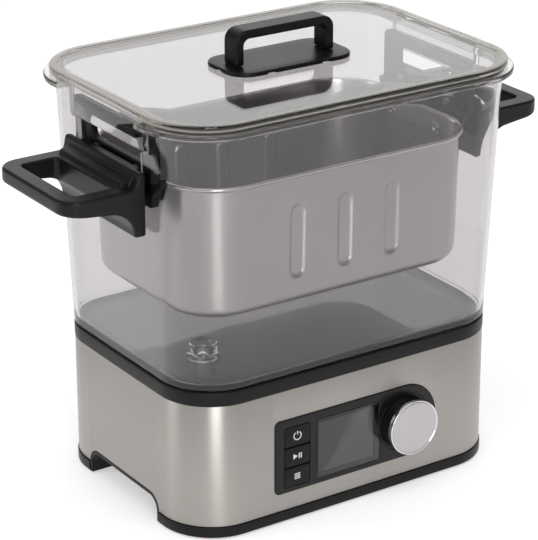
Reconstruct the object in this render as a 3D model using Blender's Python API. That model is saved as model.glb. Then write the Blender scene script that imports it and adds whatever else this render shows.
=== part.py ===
"""Counter-top bath cooker: a steel-clad base with a control panel, a clear water tank that
stands on it, a lift-out steel insert pan with two side handles, and a clear lid.

Units are millimetres in the constants and metres in the scene.  +Z is up, the control panel
looks along -Y and the two side handles lie along X.  Z = 0 is the surface it stands on.
"""
import math
from fnmatch import fnmatch

import bpy
import bmesh
from mathutils import Matrix

MM = 0.001
SEG = 6                      # straight pieces per quarter turn of a rounded corner
GAP = 0.3                    # clearance left between pieces that touch

# finish: (sRGB hex, roughness, metallic, alpha)
FINISHES = {
    "brushed_steel": (0xA29E9B, 0.34, 1.0, 1.0),
    "drawn_steel": (0x9B9896, 0.38, 1.0, 1.0),
    "polished_metal": (0xC9C8CB, 0.16, 1.0, 1.0),
    "black_plastic": (0x2C2A2B, 0.42, 0.0, 1.0),
    "gloss_black": (0x1E1C1E, 0.12, 0.0, 1.0),
    "display_grey": (0x5A5757, 0.30, 0.0, 1.0),
    "clear_plastic": (0xE2E4E2, 0.06, 0.0, 0.25),
    "coated_plate": (0x3C3B3D, 0.28, 0.6, 1.0),
    "black_rubber": (0x1B1B1B, 0.80, 0.0, 1.0),
    "zinc_screw": (0xA9A9A6, 0.35, 1.0, 1.0),
    "circuit_board": (0x1F5A3A, 0.55, 0.0, 1.0),
    "heater_tube": (0x7C7A78, 0.45, 1.0, 1.0),
}

# ---- base ----------------------------------------------------------------------------
BASE_X, BASE_Y, BASE_R = 130.0, 92.4, 38.9      # half length, half depth, corner radius
STEEL_T = 1.4
SKIRT_TOP, STEEL_TOP, COLLAR_TOP = 8.9, 98.5, 108.6
SKIRT_OUT = 0.7                                 # how far the skirt stands out from the steel
SKIRT_WALL = 2.6
FLOOR_LO, FLOOR_HI = 3.4, 6.0
NOTCH_Y, NOTCH_TOP, NOTCH_R = 44.0, 17.2, 9.0   # hand notches at both ends
NOTCH_LIP, NOTCH_DEEP = 3.2, 30.0
FOOT_X, FOOT_Y, FOOT_R = 104.0, 66.0, 9.0
SCREW_X, SCREW_R = 78.0, 2.3
AIR_SLOTS, AIR_PITCH, AIR_X, AIR_Y = 6, 16.0, 2.0, 24.0
CORD_X, CORD_Z, CORD_R = -70.0, 34.0, 8.0       # gland hole in the rear wall
GLAND_OUT, GLAND_BORE = 13.9, 3.6
COLLAR_OUT, COLLAR_IN = 0.2, 9.0
LEDGE_IN, LEDGE_Z, GASKET_TOP = 4.0, 105.5, 108.8
DECK_LO, DECK_HI = 101.9, 104.9
PLATE_LO, PLATE_HI, PLATE_INSET = 105.2, 108.2, 12.5
HEATER_X, HEATER_Y, HEATER_R, HEATER_W, HEATER_LO = 70.0, 42.0, 24.0, 8.0, 93.6
FUSE_LO = 95.6
POWER_BOARD = (-58.0, 58.0, -20.0, 62.0, 3.0)
CONTROL_BOARD = (-62.0, 62.0, 26.0, 73.0, 2.0)
BOARD_T, POWER_BOARD_Z = 1.6, 30.0

# ---- control panel -------------------------------------------------------------------
PANEL_X0, PANEL_X1 = -66.4, 69.1
PANEL_Z0, PANEL_Z1 = 22.1, 77.1
PANEL_FACE = -93.9
KNOB_X, KNOB_Z = 41.6, 49.6
KNOB_R0, KNOB_R1, KNOB_CAP_R = 19.6, 18.4, 20.1
KNOB_BACK, KNOB_SPLIT, KNOB_FRONT = -94.2, -101.9, -106.3
SHAFT_R, SHAFT_HOLE_R, STEM_R, STEM_HOLE_R = 3.0, 3.6, 2.0, 2.6
PLUG_BACK, BOARD_FRONT = -86.0, -80.6           # back of the panel, face of its board
BUTTON_X0, BUTTON_X1 = -58.9, -38.3
BUTTON_ZS = ((56.1, 70.9), (41.0, 55.4), (26.0, 40.3))
BUTTON_NAMES = ("button_power", "button_start", "button_menu")
BUTTON_FACE, BUTTON_BACK = -94.1, -89.6
LENS_X0, LENS_X1, LENS_Z0, LENS_Z1 = -32.2, 20.6, 26.0, 70.9
LCD_X0, LCD_X1, LCD_Z0, LCD_Z1 = -30.2, 15.4, 30.4, 67.4

# ---- tank ----------------------------------------------------------------------------
TANK_LO, TANK_FLOOR = 109.1, 112.2
TANK_X0, TANK_Y0, TANK_R0 = 130.2, 92.8, 38.6   # outer wall at the bottom
TANK_X1, TANK_Y1, TANK_R1 = 135.1, 99.0, 40.0   # outer wall under the flange
TANK_WALL = 2.6
FLANGE_X, FLANGE_Y, FLANGE_R = 145.0, 105.6, 49.5
FLANGE_LO, FLANGE_TOP = 287.6, 291.2
GATE_Y, GATE_Z = 50.0, 268.0                    # wide upper part of the end opening
SLOT_Y, SLOT_Z = 41.0, 247.2                    # narrower lower part for the handle neck
PIPE_X, PIPE_Y, PIPE_H = -88.5, -39.0, 11.0
PIPE_R, PIPE_FOOT_R, PIPE_BORE = 9.5, 12.0, 4.4

# ---- insert pan ----------------------------------------------------------------------
PAN_LO, PAN_RIM = 150.6, 244.7
PAN_X0, PAN_Y0, PAN_R0 = 114.6, 74.1, 36.5
PAN_X1, PAN_Y1, PAN_R1 = 116.3, 75.8, 38.0
PAN_WALL, PAN_CURL = 1.2, 2.6
RIB_XS, RIB_W = (-36.4, 2.2, 40.8), 12.4
RIB_Z0, RIB_Z1 = 170.4, 221.8

# ---- side handles --------------------------------------------------------------------
BRK_Y, BRK_LOW_Y = 49.0, 36.0
BRK_LO, BRK_MID, BRK_TOP = 226.0, 246.9, 283.0
BRK_X0, BRK_X1, BRK_X2, BRK_X3 = 116.8, 120.2, 125.6, 130.7
PAD_Y, PAD_TOP = 33.0, 240.4
WINDOW_Y, WINDOW_LO, WINDOW_TOP = 32.0, 256.5, 274.0
FASTEN_Y, RIVET_Z, HSCREW_Z = 25.7, 233.0, 251.7
HSCREW_SEAT = 123.7                             # X of the handle screw heads' inner face
CORNERS = ((-1, -1, "front_left"), (1, -1, "front_right"), (-1, 1, "rear_left"),
           (1, 1, "rear_right"))
GRIP_Y, GRIP_OUT, GRIP_R = 49.0, 194.8, 17.0
GRIP_TOP, GRIP_LO = 245.6, 234.8
HPLATE_IN, HPLATE_OUT, HPLATE_LO, HPLATE_TOP = 136.2, 140.6, 212.4, 255.6
HOLE_X0, HOLE_X1, HOLE_Y, HOLE_R = 153.6, 182.2, 35.5, 4.0
NECK_Y, NECK_LO, NECK_TOP = 38.0, 248.6, 254.8
LEDGE_Y, LEDGE_X, LEDGE_TOP = 40.0, 149.8, 250.0
SWEEP_X, SWEEP_A, SWEEP_B = 164.0, 19.6, 18.6   # hollow under the grip: a quarter ellipse

# ---- lid -----------------------------------------------------------------------------
LID_X, LID_Y, LID_R = 141.3, 101.9, 47.0
LID_LO, LID_TOP = 292.6, 297.0
PANE_TOP, BEAD_W = 295.6, 5.4
LIP_LO, LIP_GAP, LIP_W, LIP_R = 287.4, 0.8, 2.0, 36.0
SEAL_INSET, SEAL_W = 1.6, 3.6
APRON_Y, APRON_LO, APRON_X0, APRON_X1 = 46.0, 268.6, 132.2, 134.8
LHB_X, LHB_Y, LHB_R, LHB_LO, LHB_TOP = 49.0, 24.5, 15.5, 295.9, 298.7
LGRIP_X, LGRIP_Y, LGRIP_T, LGRIP_TOP = 39.6, 7.8, 6.2, 323.0
LSCREW_X, LSCREW_TOP = LGRIP_X - LGRIP_T / 2, 303.0
VENT_X, VENT_W, VENT_H, VENT_IN = 22.0, 6.6, 1.2, 2.8   # notches under the handle plate


# ======================================================================================
# small geometry helpers
# ======================================================================================
def clear_scene():
    """Remove everything that a fresh scene holds."""
    for obj in list(bpy.data.objects):
        bpy.data.objects.remove(obj, do_unlink=True)


def rounded(half_x, half_y, radius, cx=0.0, cy=0.0, seg=SEG):
    """Return a counter-clockwise rounded rectangle as 2-D points."""
    pts = []
    for quarter, (sx, sy) in enumerate(((1, 1), (-1, 1), (-1, -1), (1, -1))):
        for k in range(seg + 1):
            ang = math.radians(90.0 * (quarter + k / seg))
            pts.append((cx + sx * (half_x - radius) + radius * math.cos(ang),
                        cy + sy * (half_y - radius) + radius * math.sin(ang)))
    return pts


def box2(x0, x1, y0, y1, radius=0.0, seg=3):
    """Rounded rectangle from its limits."""
    if radius <= 0.0:
        return [(x0, y0), (x1, y0), (x1, y1), (x0, y1)]
    return rounded((x1 - x0) / 2, (y1 - y0) / 2, radius, (x0 + x1) / 2, (y0 + y1) / 2, seg)


def disc(radius, cx=0.0, cy=0.0, seg=24):
    """Regular polygon that stands for a circle."""
    return [(cx + radius * math.cos(2 * math.pi * k / seg),
             cy + radius * math.sin(2 * math.pi * k / seg)) for k in range(seg)]


def place(u, v, t, axis):
    """Put a 2-D point (u, v) at height t along the named axis."""
    if axis == "Z":
        return (u, v, t)
    if axis == "Y":
        return (u, t, v)
    return (t, u, v)


def linear(channel):
    """sRGB channel (0-255) to linear (0-1)."""
    value = channel / 255.0
    return value / 12.92 if value <= 0.04045 else ((value + 0.055) / 1.055) ** 2.4


def paint(obj, finish):
    """Give an object its own material with the look of a finish."""
    code, rough, metal, alpha = FINISHES[finish]
    mat = bpy.data.materials.new(obj.name)
    mat.use_nodes = True
    shader = mat.node_tree.nodes["Principled BSDF"]
    rgb = [linear((code >> shift) & 255) for shift in (16, 8, 0)]
    shader.inputs["Base Color"].default_value = (*rgb, 1.0)
    shader.inputs["Roughness"].default_value = rough
    shader.inputs["Metallic"].default_value = metal
    shader.inputs["Alpha"].default_value = alpha
    obj.data.materials.append(mat)


def make(name, verts, faces):
    """Create one mesh object from millimetre points, with normals facing out."""
    mesh = bpy.data.meshes.new(name)
    mesh.from_pydata([tuple(c * MM for c in v) for v in verts], [], faces)
    work = bmesh.new()
    work.from_mesh(mesh)
    bmesh.ops.recalc_face_normals(work, faces=work.faces)
    work.to_mesh(mesh)
    work.free()
    mesh.shade_smooth()
    mesh.set_sharp_from_angle(angle=math.radians(32.0))
    obj = bpy.data.objects.new(name, mesh)
    bpy.context.scene.collection.objects.link(obj)
    return obj


def stack(name, loops, closed=False):
    """Skin a list of equal-length 3-D loops; cap both ends unless they form a ring."""
    n = len(loops[0])
    verts = [p for loop in loops for p in loop]
    faces = []
    last = len(loops) if closed else len(loops) - 1
    for i in range(last):
        a, b = i * n, ((i + 1) % len(loops)) * n
        for k in range(n):
            m = (k + 1) % n
            faces.append((a + k, a + m, b + m, b + k))
    if not closed:
        faces.append(tuple(range(n))[::-1])
        faces.append(tuple(range((len(loops) - 1) * n, len(loops) * n)))
    return make(name, verts, faces)


def extrude(name, outline, lo, hi, axis="Z"):
    """Straight prism over a 2-D outline."""
    return stack(name, [[place(u, v, t, axis) for u, v in outline] for t in (lo, hi)])


def ring(name, outer, inner, lo, hi, axis="Z"):
    """Straight prism with a matching hole; both outlines have the same point count."""
    loops = [[place(u, v, t, axis) for u, v in line]
             for line, t in ((outer, lo), (outer, hi), (inner, hi), (inner, lo))]
    return stack(name, loops, closed=True)


TURN = {"Z": (0.0, 0.0, 0.0), "Y": (-math.pi / 2, 0.0, 0.0), "X": (0.0, math.pi / 2, 0.0)}


def turned(name, profile, at, axis="Z", seg=24, closed=False):
    """Turn (radius, height) points about the named axis through the point at."""
    obj = stack(name, [[(u, v, h) for u, v in disc(r, seg=seg)] for r, h in profile], closed)
    obj.location = [c * MM for c in at]
    obj.rotation_euler = TURN[axis]
    return obj


def peg(name, radius, lo, hi, at, axis="Z", seg=14):
    """Plain cylinder between two heights on the named axis through the point at."""
    return turned(name, [(radius, lo), (radius, hi)], at, axis, seg)


def boolean(target, tool, operation):
    """Combine a tool into a target and hide the tool from the result."""
    mod = target.modifiers.new(tool.name, "BOOLEAN")
    mod.operation = operation
    mod.solver = "EXACT"
    mod.object = tool
    tool.hide_render = True
    tool.display_type = "WIRE"
    return target


def cut(target, *tools):
    """Subtract every tool from the target."""
    for tool in tools:
        boolean(target, tool, "DIFFERENCE")
    return target


def join(target, *tools):
    """Add every tool to the target."""
    for tool in tools:
        boolean(target, tool, "UNION")
    return target


def vessel(name, outer, inner):
    """Skin an open vessel: outer loops from the bottom up, then inner loops down."""
    return stack(name, [[(x, y, z) for x, y in rounded(a, b, r)]
                        for a, b, r, z in list(outer) + list(inner)])


# ======================================================================================
# base
# ======================================================================================
def notch_outline(grow):
    """Outline of a hand notch in the Y-Z plane, open downward."""
    return box2(-NOTCH_Y - grow, NOTCH_Y + grow, -20.0, NOTCH_TOP + grow, NOTCH_R, 4)


def panel_outline(grow=0.0):
    """Control-panel outline in the X-Z plane: small corners left, a half circle right."""
    zc, half = (PANEL_Z0 + PANEL_Z1) / 2, (PANEL_Z1 - PANEL_Z0) / 2 + grow
    cx = PANEL_X1 - (PANEL_Z1 - PANEL_Z0) / 2
    pts = [(cx + half * math.sin(math.pi * k / 14), zc - half * math.cos(math.pi * k / 14))
           for k in range(15)]
    rad, left = 4.0, PANEL_X0 - grow
    for top in (1, -1):
        for k in range(4):
            ang = math.radians(90 + 30 * k) if top > 0 else math.radians(180 + 30 * k)
            pts.append((left + rad + rad * math.cos(ang),
                        zc + top * (half - rad) + rad * math.sin(ang)))
    return pts


def build_housing():
    """Brushed steel sleeve with the panel window, two hand notches and a cord hole."""
    body = ring("base_housing", rounded(BASE_X, BASE_Y, BASE_R),
                rounded(BASE_X - STEEL_T, BASE_Y - STEEL_T, BASE_R - STEEL_T),
                SKIRT_TOP + GAP, STEEL_TOP)
    window = extrude("cut_window", panel_outline(-2.0), -100.0, -80.0, "Y")
    notches = extrude("cut_steel_notch", notch_outline(NOTCH_LIP + GAP), -160.0, 160.0, "X")
    cord = peg("cut_cord", CORD_R, -8.0, 8.0, (CORD_X, BASE_Y, CORD_Z), "Y", 20)
    cut(body, window, notches, cord)


def build_skirt():
    """Black lower moulding: rim, floor with air slots and the lined hand notches."""
    out_x, out_y, out_r = BASE_X + SKIRT_OUT, BASE_Y + SKIRT_OUT, BASE_R + SKIRT_OUT
    wall = SKIRT_WALL + SKIRT_OUT
    body = vessel("base_skirt",
                  [(out_x - 0.8, out_y - 0.8, out_r - 0.8, 0.8), (out_x, out_y, out_r, 1.6),
                   (out_x, out_y, out_r, SKIRT_TOP)],
                  [(out_x - wall, out_y - wall, out_r - wall, SKIRT_TOP),
                   (out_x - wall, out_y - wall, out_r - wall, FLOOR_HI)])
    under = extrude("cut_under", rounded(out_x - wall, out_y - wall, out_r - wall),
                    -2.0, FLOOR_LO)
    cut(body, under)
    for side, tag in ((-1, "l"), (1, "r")):
        lo, hi = sorted((side * out_x, side * (out_x - NOTCH_DEEP - 2.4)))
        lining = extrude("add_lining_" + tag, notch_outline(NOTCH_LIP), lo, hi, "X")
        trim = extrude("cut_trim_" + tag, box2(-80.0, 80.0, -30.0, FLOOR_LO),
                       lo - 1.0, hi + 1.0, "X")
        cut(lining, trim)
        join(body, lining)
    keep = ring("cut_outside", rounded(out_x + 30, out_y + 30, out_r + 30),
                rounded(out_x, out_y, out_r), -10.0, 40.0)
    cut(body, keep)
    for side, tag in ((-1, "l"), (1, "r")):
        lo, hi = sorted((side * (out_x + 6.0), side * (out_x - NOTCH_DEEP)))
        cut(body, extrude("cut_notch_" + tag, notch_outline(0.0), lo, hi, "X"))
    for sx, sy, tag in CORNERS:
        cut(body, peg("cut_screw_" + tag, SCREW_R, -6.0, 6.0,
                      (sx * SCREW_X, sy * FOOT_Y, FLOOR_LO), seg=16))
    for k in range(AIR_SLOTS):
        x = AIR_PITCH * (k - (AIR_SLOTS - 1) / 2)
        cut(body, extrude("cut_slot_%d" % k, box2(x - AIR_X, x + AIR_X, -AIR_Y, AIR_Y,
                                                  AIR_X - 0.1), -1.0, 12.0))


def build_feet():
    """Four rubber feet and four screws under the floor."""
    top = FLOOR_LO - GAP
    for sx, sy, tag in CORNERS:
        turned("foot_" + tag, [(FOOT_R - 1.2, 0.0), (FOOT_R, 0.7), (FOOT_R, top)],
               (sx * FOOT_X, sy * FOOT_Y, 0.0), seg=20)
        turned("base_screw_" + tag, [(3.6, -1.5), (3.6, 0.0), (1.9, 0.0), (1.9, 13.0)],
               (sx * SCREW_X, sy * FOOT_Y, top), seg=14)


def build_collar():
    """Black ring on top of the steel with a ledge for the tank gasket."""
    def line(inset, z):
        return [(x, y, z) for x, y in rounded(BASE_X + COLLAR_OUT - inset,
                                              BASE_Y + COLLAR_OUT - inset,
                                              BASE_R + COLLAR_OUT - inset)]
    stack("top_collar", [line(0.0, STEEL_TOP + GAP), line(0.0, COLLAR_TOP - 0.8),
                         line(0.8, COLLAR_TOP), line(LEDGE_IN, COLLAR_TOP),
                         line(LEDGE_IN, LEDGE_Z), line(COLLAR_IN, LEDGE_Z),
                         line(COLLAR_IN, STEEL_TOP + GAP)], closed=True)
    near, far = LEDGE_IN + GAP, COLLAR_IN - GAP
    stack("tank_gasket", [line(near, LEDGE_Z + GAP), line(near, GASKET_TOP),
                          line(far, GASKET_TOP), line(far, LEDGE_Z + GAP)], closed=True)
    inset = COLLAR_IN + GAP - COLLAR_OUT
    extrude("base_deck", rounded(BASE_X - inset, BASE_Y - inset, BASE_R - inset),
            DECK_LO, DECK_HI)
    extrude("heating_plate", rounded(BASE_X - PLATE_INSET, BASE_Y - PLATE_INSET,
                                     BASE_R - PLATE_INSET), PLATE_LO, PLATE_HI)


def build_inside():
    """Heater, sensors, boards, switches and cord gland inside the base."""
    under = DECK_LO - GAP
    ring("heating_element", rounded(HEATER_X, HEATER_Y, HEATER_R),
         rounded(HEATER_X - HEATER_W, HEATER_Y - HEATER_W, HEATER_R - HEATER_W),
         HEATER_LO, under)
    turned("temperature_sensor", [(5.0, -11.9), (5.0, 0.0)], (PIPE_X, PIPE_Y, under), seg=16)
    extrude("thermal_fuse", box2(-9.0, 9.0, 50.0, 58.0), FUSE_LO, under)
    extrude("power_board", box2(*POWER_BOARD), POWER_BOARD_Z, POWER_BOARD_Z + BOARD_T)
    extrude("control_board", box2(*CONTROL_BOARD), BOARD_FRONT, BOARD_FRONT + BOARD_T, "Y")
    rear = (CORD_X, BASE_Y, CORD_Z)
    gland = turned("cord_gland", [(CORD_R - GAP, -7.0), (CORD_R - GAP, 0.4), (11.0, 0.4),
                                  (11.0, 2.4), (8.6, 2.8), (8.6, GLAND_OUT - 2.4),
                                  (6.4, GLAND_OUT)], rear, "Y", 20)
    cut(gland, peg("cut_gland", GLAND_BORE, -12.0, 20.0, rear, "Y", 16))


# ======================================================================================
# control panel
# ======================================================================================
def build_panel():
    """Bezel, display lens and module."""
    body = extrude("panel_bezel", panel_outline(), -BASE_Y - GAP, PANEL_FACE, "Y")
    join(body, extrude("add_plug", panel_outline(-2.4), -BASE_Y - 0.8, PLUG_BACK, "Y"))
    cut(body,
        extrude("cut_lens", box2(LENS_X0, LENS_X1, LENS_Z0, LENS_Z1, 1.6), -93.0, -97.0, "Y"),
        extrude("cut_lcd", box2(LCD_X0 - 0.5, LCD_X1 + 0.5, LCD_Z0 - 0.5, LCD_Z1 + 0.5),
                -99.0, -80.0, "Y"),
        extrude("cut_keys", box2(BUTTON_X0 - 0.4, BUTTON_X1 + 0.4, BUTTON_ZS[2][0] - 0.4,
                                 BUTTON_ZS[0][1] + 0.4, 1.8), -88.0, -97.0, "Y"),
        peg("cut_shaft", SHAFT_HOLE_R, -8.0, 12.0, (KNOB_X, PANEL_FACE, KNOB_Z), "Y", 18))
    for k, (z0, z1) in enumerate(BUTTON_ZS):
        cut(body, peg("cut_stem_%d" % k, STEM_HOLE_R, -8.0, 12.0,
                      ((BUTTON_X0 + BUTTON_X1) / 2, PANEL_FACE, (z0 + z1) / 2), "Y"))
    extrude("display_lens", box2(LENS_X0 + 0.25, LENS_X1 - 0.25, LENS_Z0 + 0.25,
                                 LENS_Z1 - 0.25, 1.4), -93.95, -93.25, "Y")
    extrude("display_module", box2(LCD_X0, LCD_X1, LCD_Z0, LCD_Z1), -92.8, -81.0, "Y")


def build_buttons():
    """Three push buttons, each a cap with a stem, and the switch behind each."""
    xc = (BUTTON_X0 + BUTTON_X1) / 2
    for name, (z0, z1) in zip(BUTTON_NAMES, BUTTON_ZS):
        zc = (z0 + z1) / 2
        cap = stack(name, [[place(u, v, t, "Y") for u, v in
                            box2(BUTTON_X0 + g, BUTTON_X1 - g, z0 + g, z1 - g, 1.5)]
                           for g, t in ((0.5, BUTTON_FACE), (0.0, BUTTON_FACE + 0.5),
                                        (0.0, BUTTON_BACK))])
        join(cap, peg("add_stem_" + name, STEM_R, -1.4, 5.0, (xc, BUTTON_BACK, zc), "Y", 12))
        extrude(name.replace("button", "switch"), box2(xc - 3.2, xc + 3.2, zc - 3.2, zc + 3.2),
                -83.4, BOARD_FRONT - GAP, "Y")


def build_knob():
    """Turning knob: black body with a shaft, satin cap, and the encoder behind it."""
    axis_point = (KNOB_X, KNOB_SPLIT, KNOB_Z)
    back, front = KNOB_BACK - KNOB_SPLIT, KNOB_FRONT - KNOB_SPLIT
    body = turned("knob_body", [(KNOB_R1, 0.1), (KNOB_R0, back - 0.6), (KNOB_R0 - 0.6, back)],
                  axis_point, "Y", 32)
    join(body, peg("add_shaft", SHAFT_R, back - 2.0, back + 8.0, axis_point, "Y", 16))
    turned("knob_cap", [(KNOB_CAP_R - 0.9, front), (KNOB_CAP_R, front + 0.9),
                        (KNOB_CAP_R, -0.6), (KNOB_CAP_R - 0.4, -GAP + 0.1)],
           axis_point, "Y", 32)
    extrude("encoder", box2(KNOB_X - 6.0, KNOB_X + 6.0, KNOB_Z - 6.0, KNOB_Z + 6.0),
            PLUG_BACK + 0.2, BOARD_FRONT - GAP, "Y")


# ======================================================================================
# tank
# ======================================================================================
def build_tank():
    """Clear moulded tank with drafted walls, a flange and a stepped opening at each end."""
    w = TANK_WALL
    body = vessel("tank",
                  [(TANK_X0 - 2.2, TANK_Y0 - 2.2, TANK_R0 - 2.2, TANK_LO),
                   (TANK_X0 - 0.5, TANK_Y0 - 0.5, TANK_R0 - 0.5, TANK_LO + 0.6),
                   (TANK_X0, TANK_Y0, TANK_R0, TANK_LO + 2.2),
                   (TANK_X1, TANK_Y1, TANK_R1, FLANGE_LO - 1.4),
                   (TANK_X1 + 1.4, TANK_Y1 + 1.4, TANK_R1 + 1.4, FLANGE_LO),
                   (FLANGE_X - 0.7, FLANGE_Y - 0.7, FLANGE_R - 0.7, FLANGE_LO),
                   (FLANGE_X, FLANGE_Y, FLANGE_R, FLANGE_LO + 0.7),
                   (FLANGE_X, FLANGE_Y, FLANGE_R, FLANGE_TOP - 0.7),
                   (FLANGE_X - 0.7, FLANGE_Y - 0.7, FLANGE_R - 0.7, FLANGE_TOP)],
                  [(TANK_X1 - w, TANK_Y1 - w, TANK_R1 - w, FLANGE_TOP),
                   (TANK_X0 - w, TANK_Y0 - w, TANK_R0 - w, TANK_FLOOR + 3.0),
                   (TANK_X0 - w - 1.0, TANK_Y0 - w - 1.0, TANK_R0 - w - 1.0,
                    TANK_FLOOR + 0.8),
                   (TANK_X0 - w - 3.0, TANK_Y0 - w - 3.0, TANK_R0 - w - 3.0, TANK_FLOOR)])
    for side, tag in ((-1, "l"), (1, "r")):
        lo, hi = sorted((side * 124.0, side * 160.0))
        cut(body,
            extrude("cut_gate_" + tag, box2(-GATE_Y, GATE_Y, GATE_Z, 310.0, 3.0), lo, hi, "X"),
            extrude("cut_slot2_" + tag, box2(-SLOT_Y, SLOT_Y, SLOT_Z, 280.0, 5.0), lo, hi, "X"))
    turned("tank_standpipe", [(PIPE_FOOT_R, 0.0), (PIPE_FOOT_R, 1.6), (PIPE_R + 0.2, 3.4),
                              (PIPE_R, PIPE_H - 0.6), (PIPE_R - 0.6, PIPE_H),
                              (PIPE_BORE, PIPE_H), (PIPE_BORE, 0.0)],
           (PIPE_X, PIPE_Y, TANK_FLOOR + GAP), closed=True)


# ======================================================================================
# insert pan and its handles
# ======================================================================================
def build_pan():
    """Deep-drawn steel pan with a curled rim and pressed grooves front and back."""
    w, c = PAN_WALL, PAN_CURL
    body = vessel("insert_pan",
                  [(PAN_X0 - 7.0, PAN_Y0 - 7.0, PAN_R0 - 7.0, PAN_LO),
                   (PAN_X0 - 3.0, PAN_Y0 - 3.0, PAN_R0 - 3.0, PAN_LO + 1.4),
                   (PAN_X0 - 0.8, PAN_Y0 - 0.8, PAN_R0 - 0.8, PAN_LO + 4.0),
                   (PAN_X0, PAN_Y0, PAN_R0, PAN_LO + 7.6),
                   (PAN_X1, PAN_Y1, PAN_R1, PAN_RIM - 3.0),
                   (PAN_X1 + c - 0.6, PAN_Y1 + c - 0.6, PAN_R1 + c - 0.6, PAN_RIM - 2.6),
                   (PAN_X1 + c, PAN_Y1 + c, PAN_R1 + c, PAN_RIM - 1.5),
                   (PAN_X1 + c - 0.6, PAN_Y1 + c - 0.6, PAN_R1 + c - 0.6, PAN_RIM - 0.4),
                   (PAN_X1 + 0.9, PAN_Y1 + 0.9, PAN_R1 + 0.9, PAN_RIM)],
                  [(PAN_X1 - w, PAN_Y1 - w, PAN_R1 - w, PAN_RIM - 1.2),
                   (PAN_X0 - w, PAN_Y0 - w, PAN_R0 - w, PAN_LO + 8.0),
                   (PAN_X0 - w - 0.9, PAN_Y0 - w - 0.9, PAN_R0 - w - 0.9, PAN_LO + 4.8),
                   (PAN_X0 - w - 3.2, PAN_Y0 - w - 3.2, PAN_R0 - w - 3.2, PAN_LO + 2.5),
                   (PAN_X0 - w - 7.0, PAN_Y0 - w - 7.0, PAN_R0 - w - 7.0, PAN_LO + w)])
    for side in (-1, 1):
        for k, x in enumerate(RIB_XS):
            tag = "%s%d" % ("f" if side < 0 else "b", k)
            deep = [side * (PAN_Y1 - w - 2.4), side * (PAN_Y1 - 0.6)]
            skin = [side * (PAN_Y0 - 0.9), side * (PAN_Y1 + 1.6)]
            join(body, extrude("add_rib_" + tag, box2(x - RIB_W / 2, x + RIB_W / 2, RIB_Z0,
                               RIB_Z1, RIB_W / 2 - 0.01, 4), min(deep), max(deep), "Y"))
            cut(body, extrude("cut_rib_" + tag, box2(x - RIB_W / 2 + 1.0, x + RIB_W / 2 - 1.0,
                              RIB_Z0 + 1.0, RIB_Z1 - 1.0, RIB_W / 2 - 1.01, 4),
                              min(skin), max(skin), "Y"))
    for k, y in enumerate((-FASTEN_Y, FASTEN_Y)):
        cut(body, peg("cut_panrivet_%d" % k, 2.6, -122.0, 122.0, (0.0, y, RIVET_Z), "X"))


def build_bracket(side, tag):
    """Black inner bracket: a pad under the pan rim, an arm over it, an upright with a window."""
    def span(a, b):
        return sorted((side * a, side * b))
    low = [(-BRK_LOW_Y, BRK_LO), (BRK_LOW_Y, BRK_LO), (BRK_LOW_Y + 3.0, BRK_LO + 4.0),
           (BRK_Y, BRK_MID - 2.0), (BRK_Y, BRK_MID + 1.0), (-BRK_Y, BRK_MID + 1.0),
           (-BRK_Y, BRK_MID - 2.0), (-BRK_LOW_Y - 3.0, BRK_LO + 4.0)]
    body = extrude("pan_bracket_" + tag, low, *span(BRK_X1, BRK_X2 - 0.4), "X")
    join(body,
         extrude("add_pad_" + tag, box2(-PAD_Y, PAD_Y, BRK_LO + 1.0, PAD_TOP),
                 *span(BRK_X0, BRK_X1 + 1.0), "X"),
         extrude("add_up_" + tag, box2(-BRK_Y, BRK_Y, BRK_MID - 0.6, BRK_TOP, 3.0),
                 *span(BRK_X2 - 1.6, BRK_X3), "X"))
    cut(body, extrude("cut_window_" + tag,
                      box2(-WINDOW_Y, WINDOW_Y, WINDOW_LO, WINDOW_TOP, 5.0),
                      *span(116.0, 140.0), "X"))
    for k, y in enumerate((-FASTEN_Y, FASTEN_Y)):
        cut(body,
            peg("cut_rivet_%s%d" % (tag, k), 2.6, *span(110.0, 122.0), (0.0, y, RIVET_Z), "X"),
            peg("cut_hscrew_%s%d" % (tag, k), 2.5, *span(110.0, 140.0), (0.0, y, HSCREW_Z),
                "X"))


def build_rivets(side, tag):
    """Two rivets that hold the bracket, headed inside the pan, and two handle screws."""
    wall, brace = side * (PAN_X1 - PAN_WALL - 0.6), side * HSCREW_SEAT
    for row, y in (("front", -FASTEN_Y), ("rear", FASTEN_Y)):
        turned("rivet_%s_%s" % (tag, row),
               [(3.0, side * -1.5), (4.4, side * -0.9), (4.4, side * 0.1), (2.2, side * 0.1),
                (2.2, side * 7.1)], (wall, y, RIVET_Z), "X", 14)
        turned("handle_screw_%s_%s" % (tag, row),
               [(2.8, side * -2.4), (3.4, side * -1.7), (3.4, 0.0), (2.1, 0.0),
                (2.1, side * 13.7)], (brace, y, HSCREW_Z), "X", 14)


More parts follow.
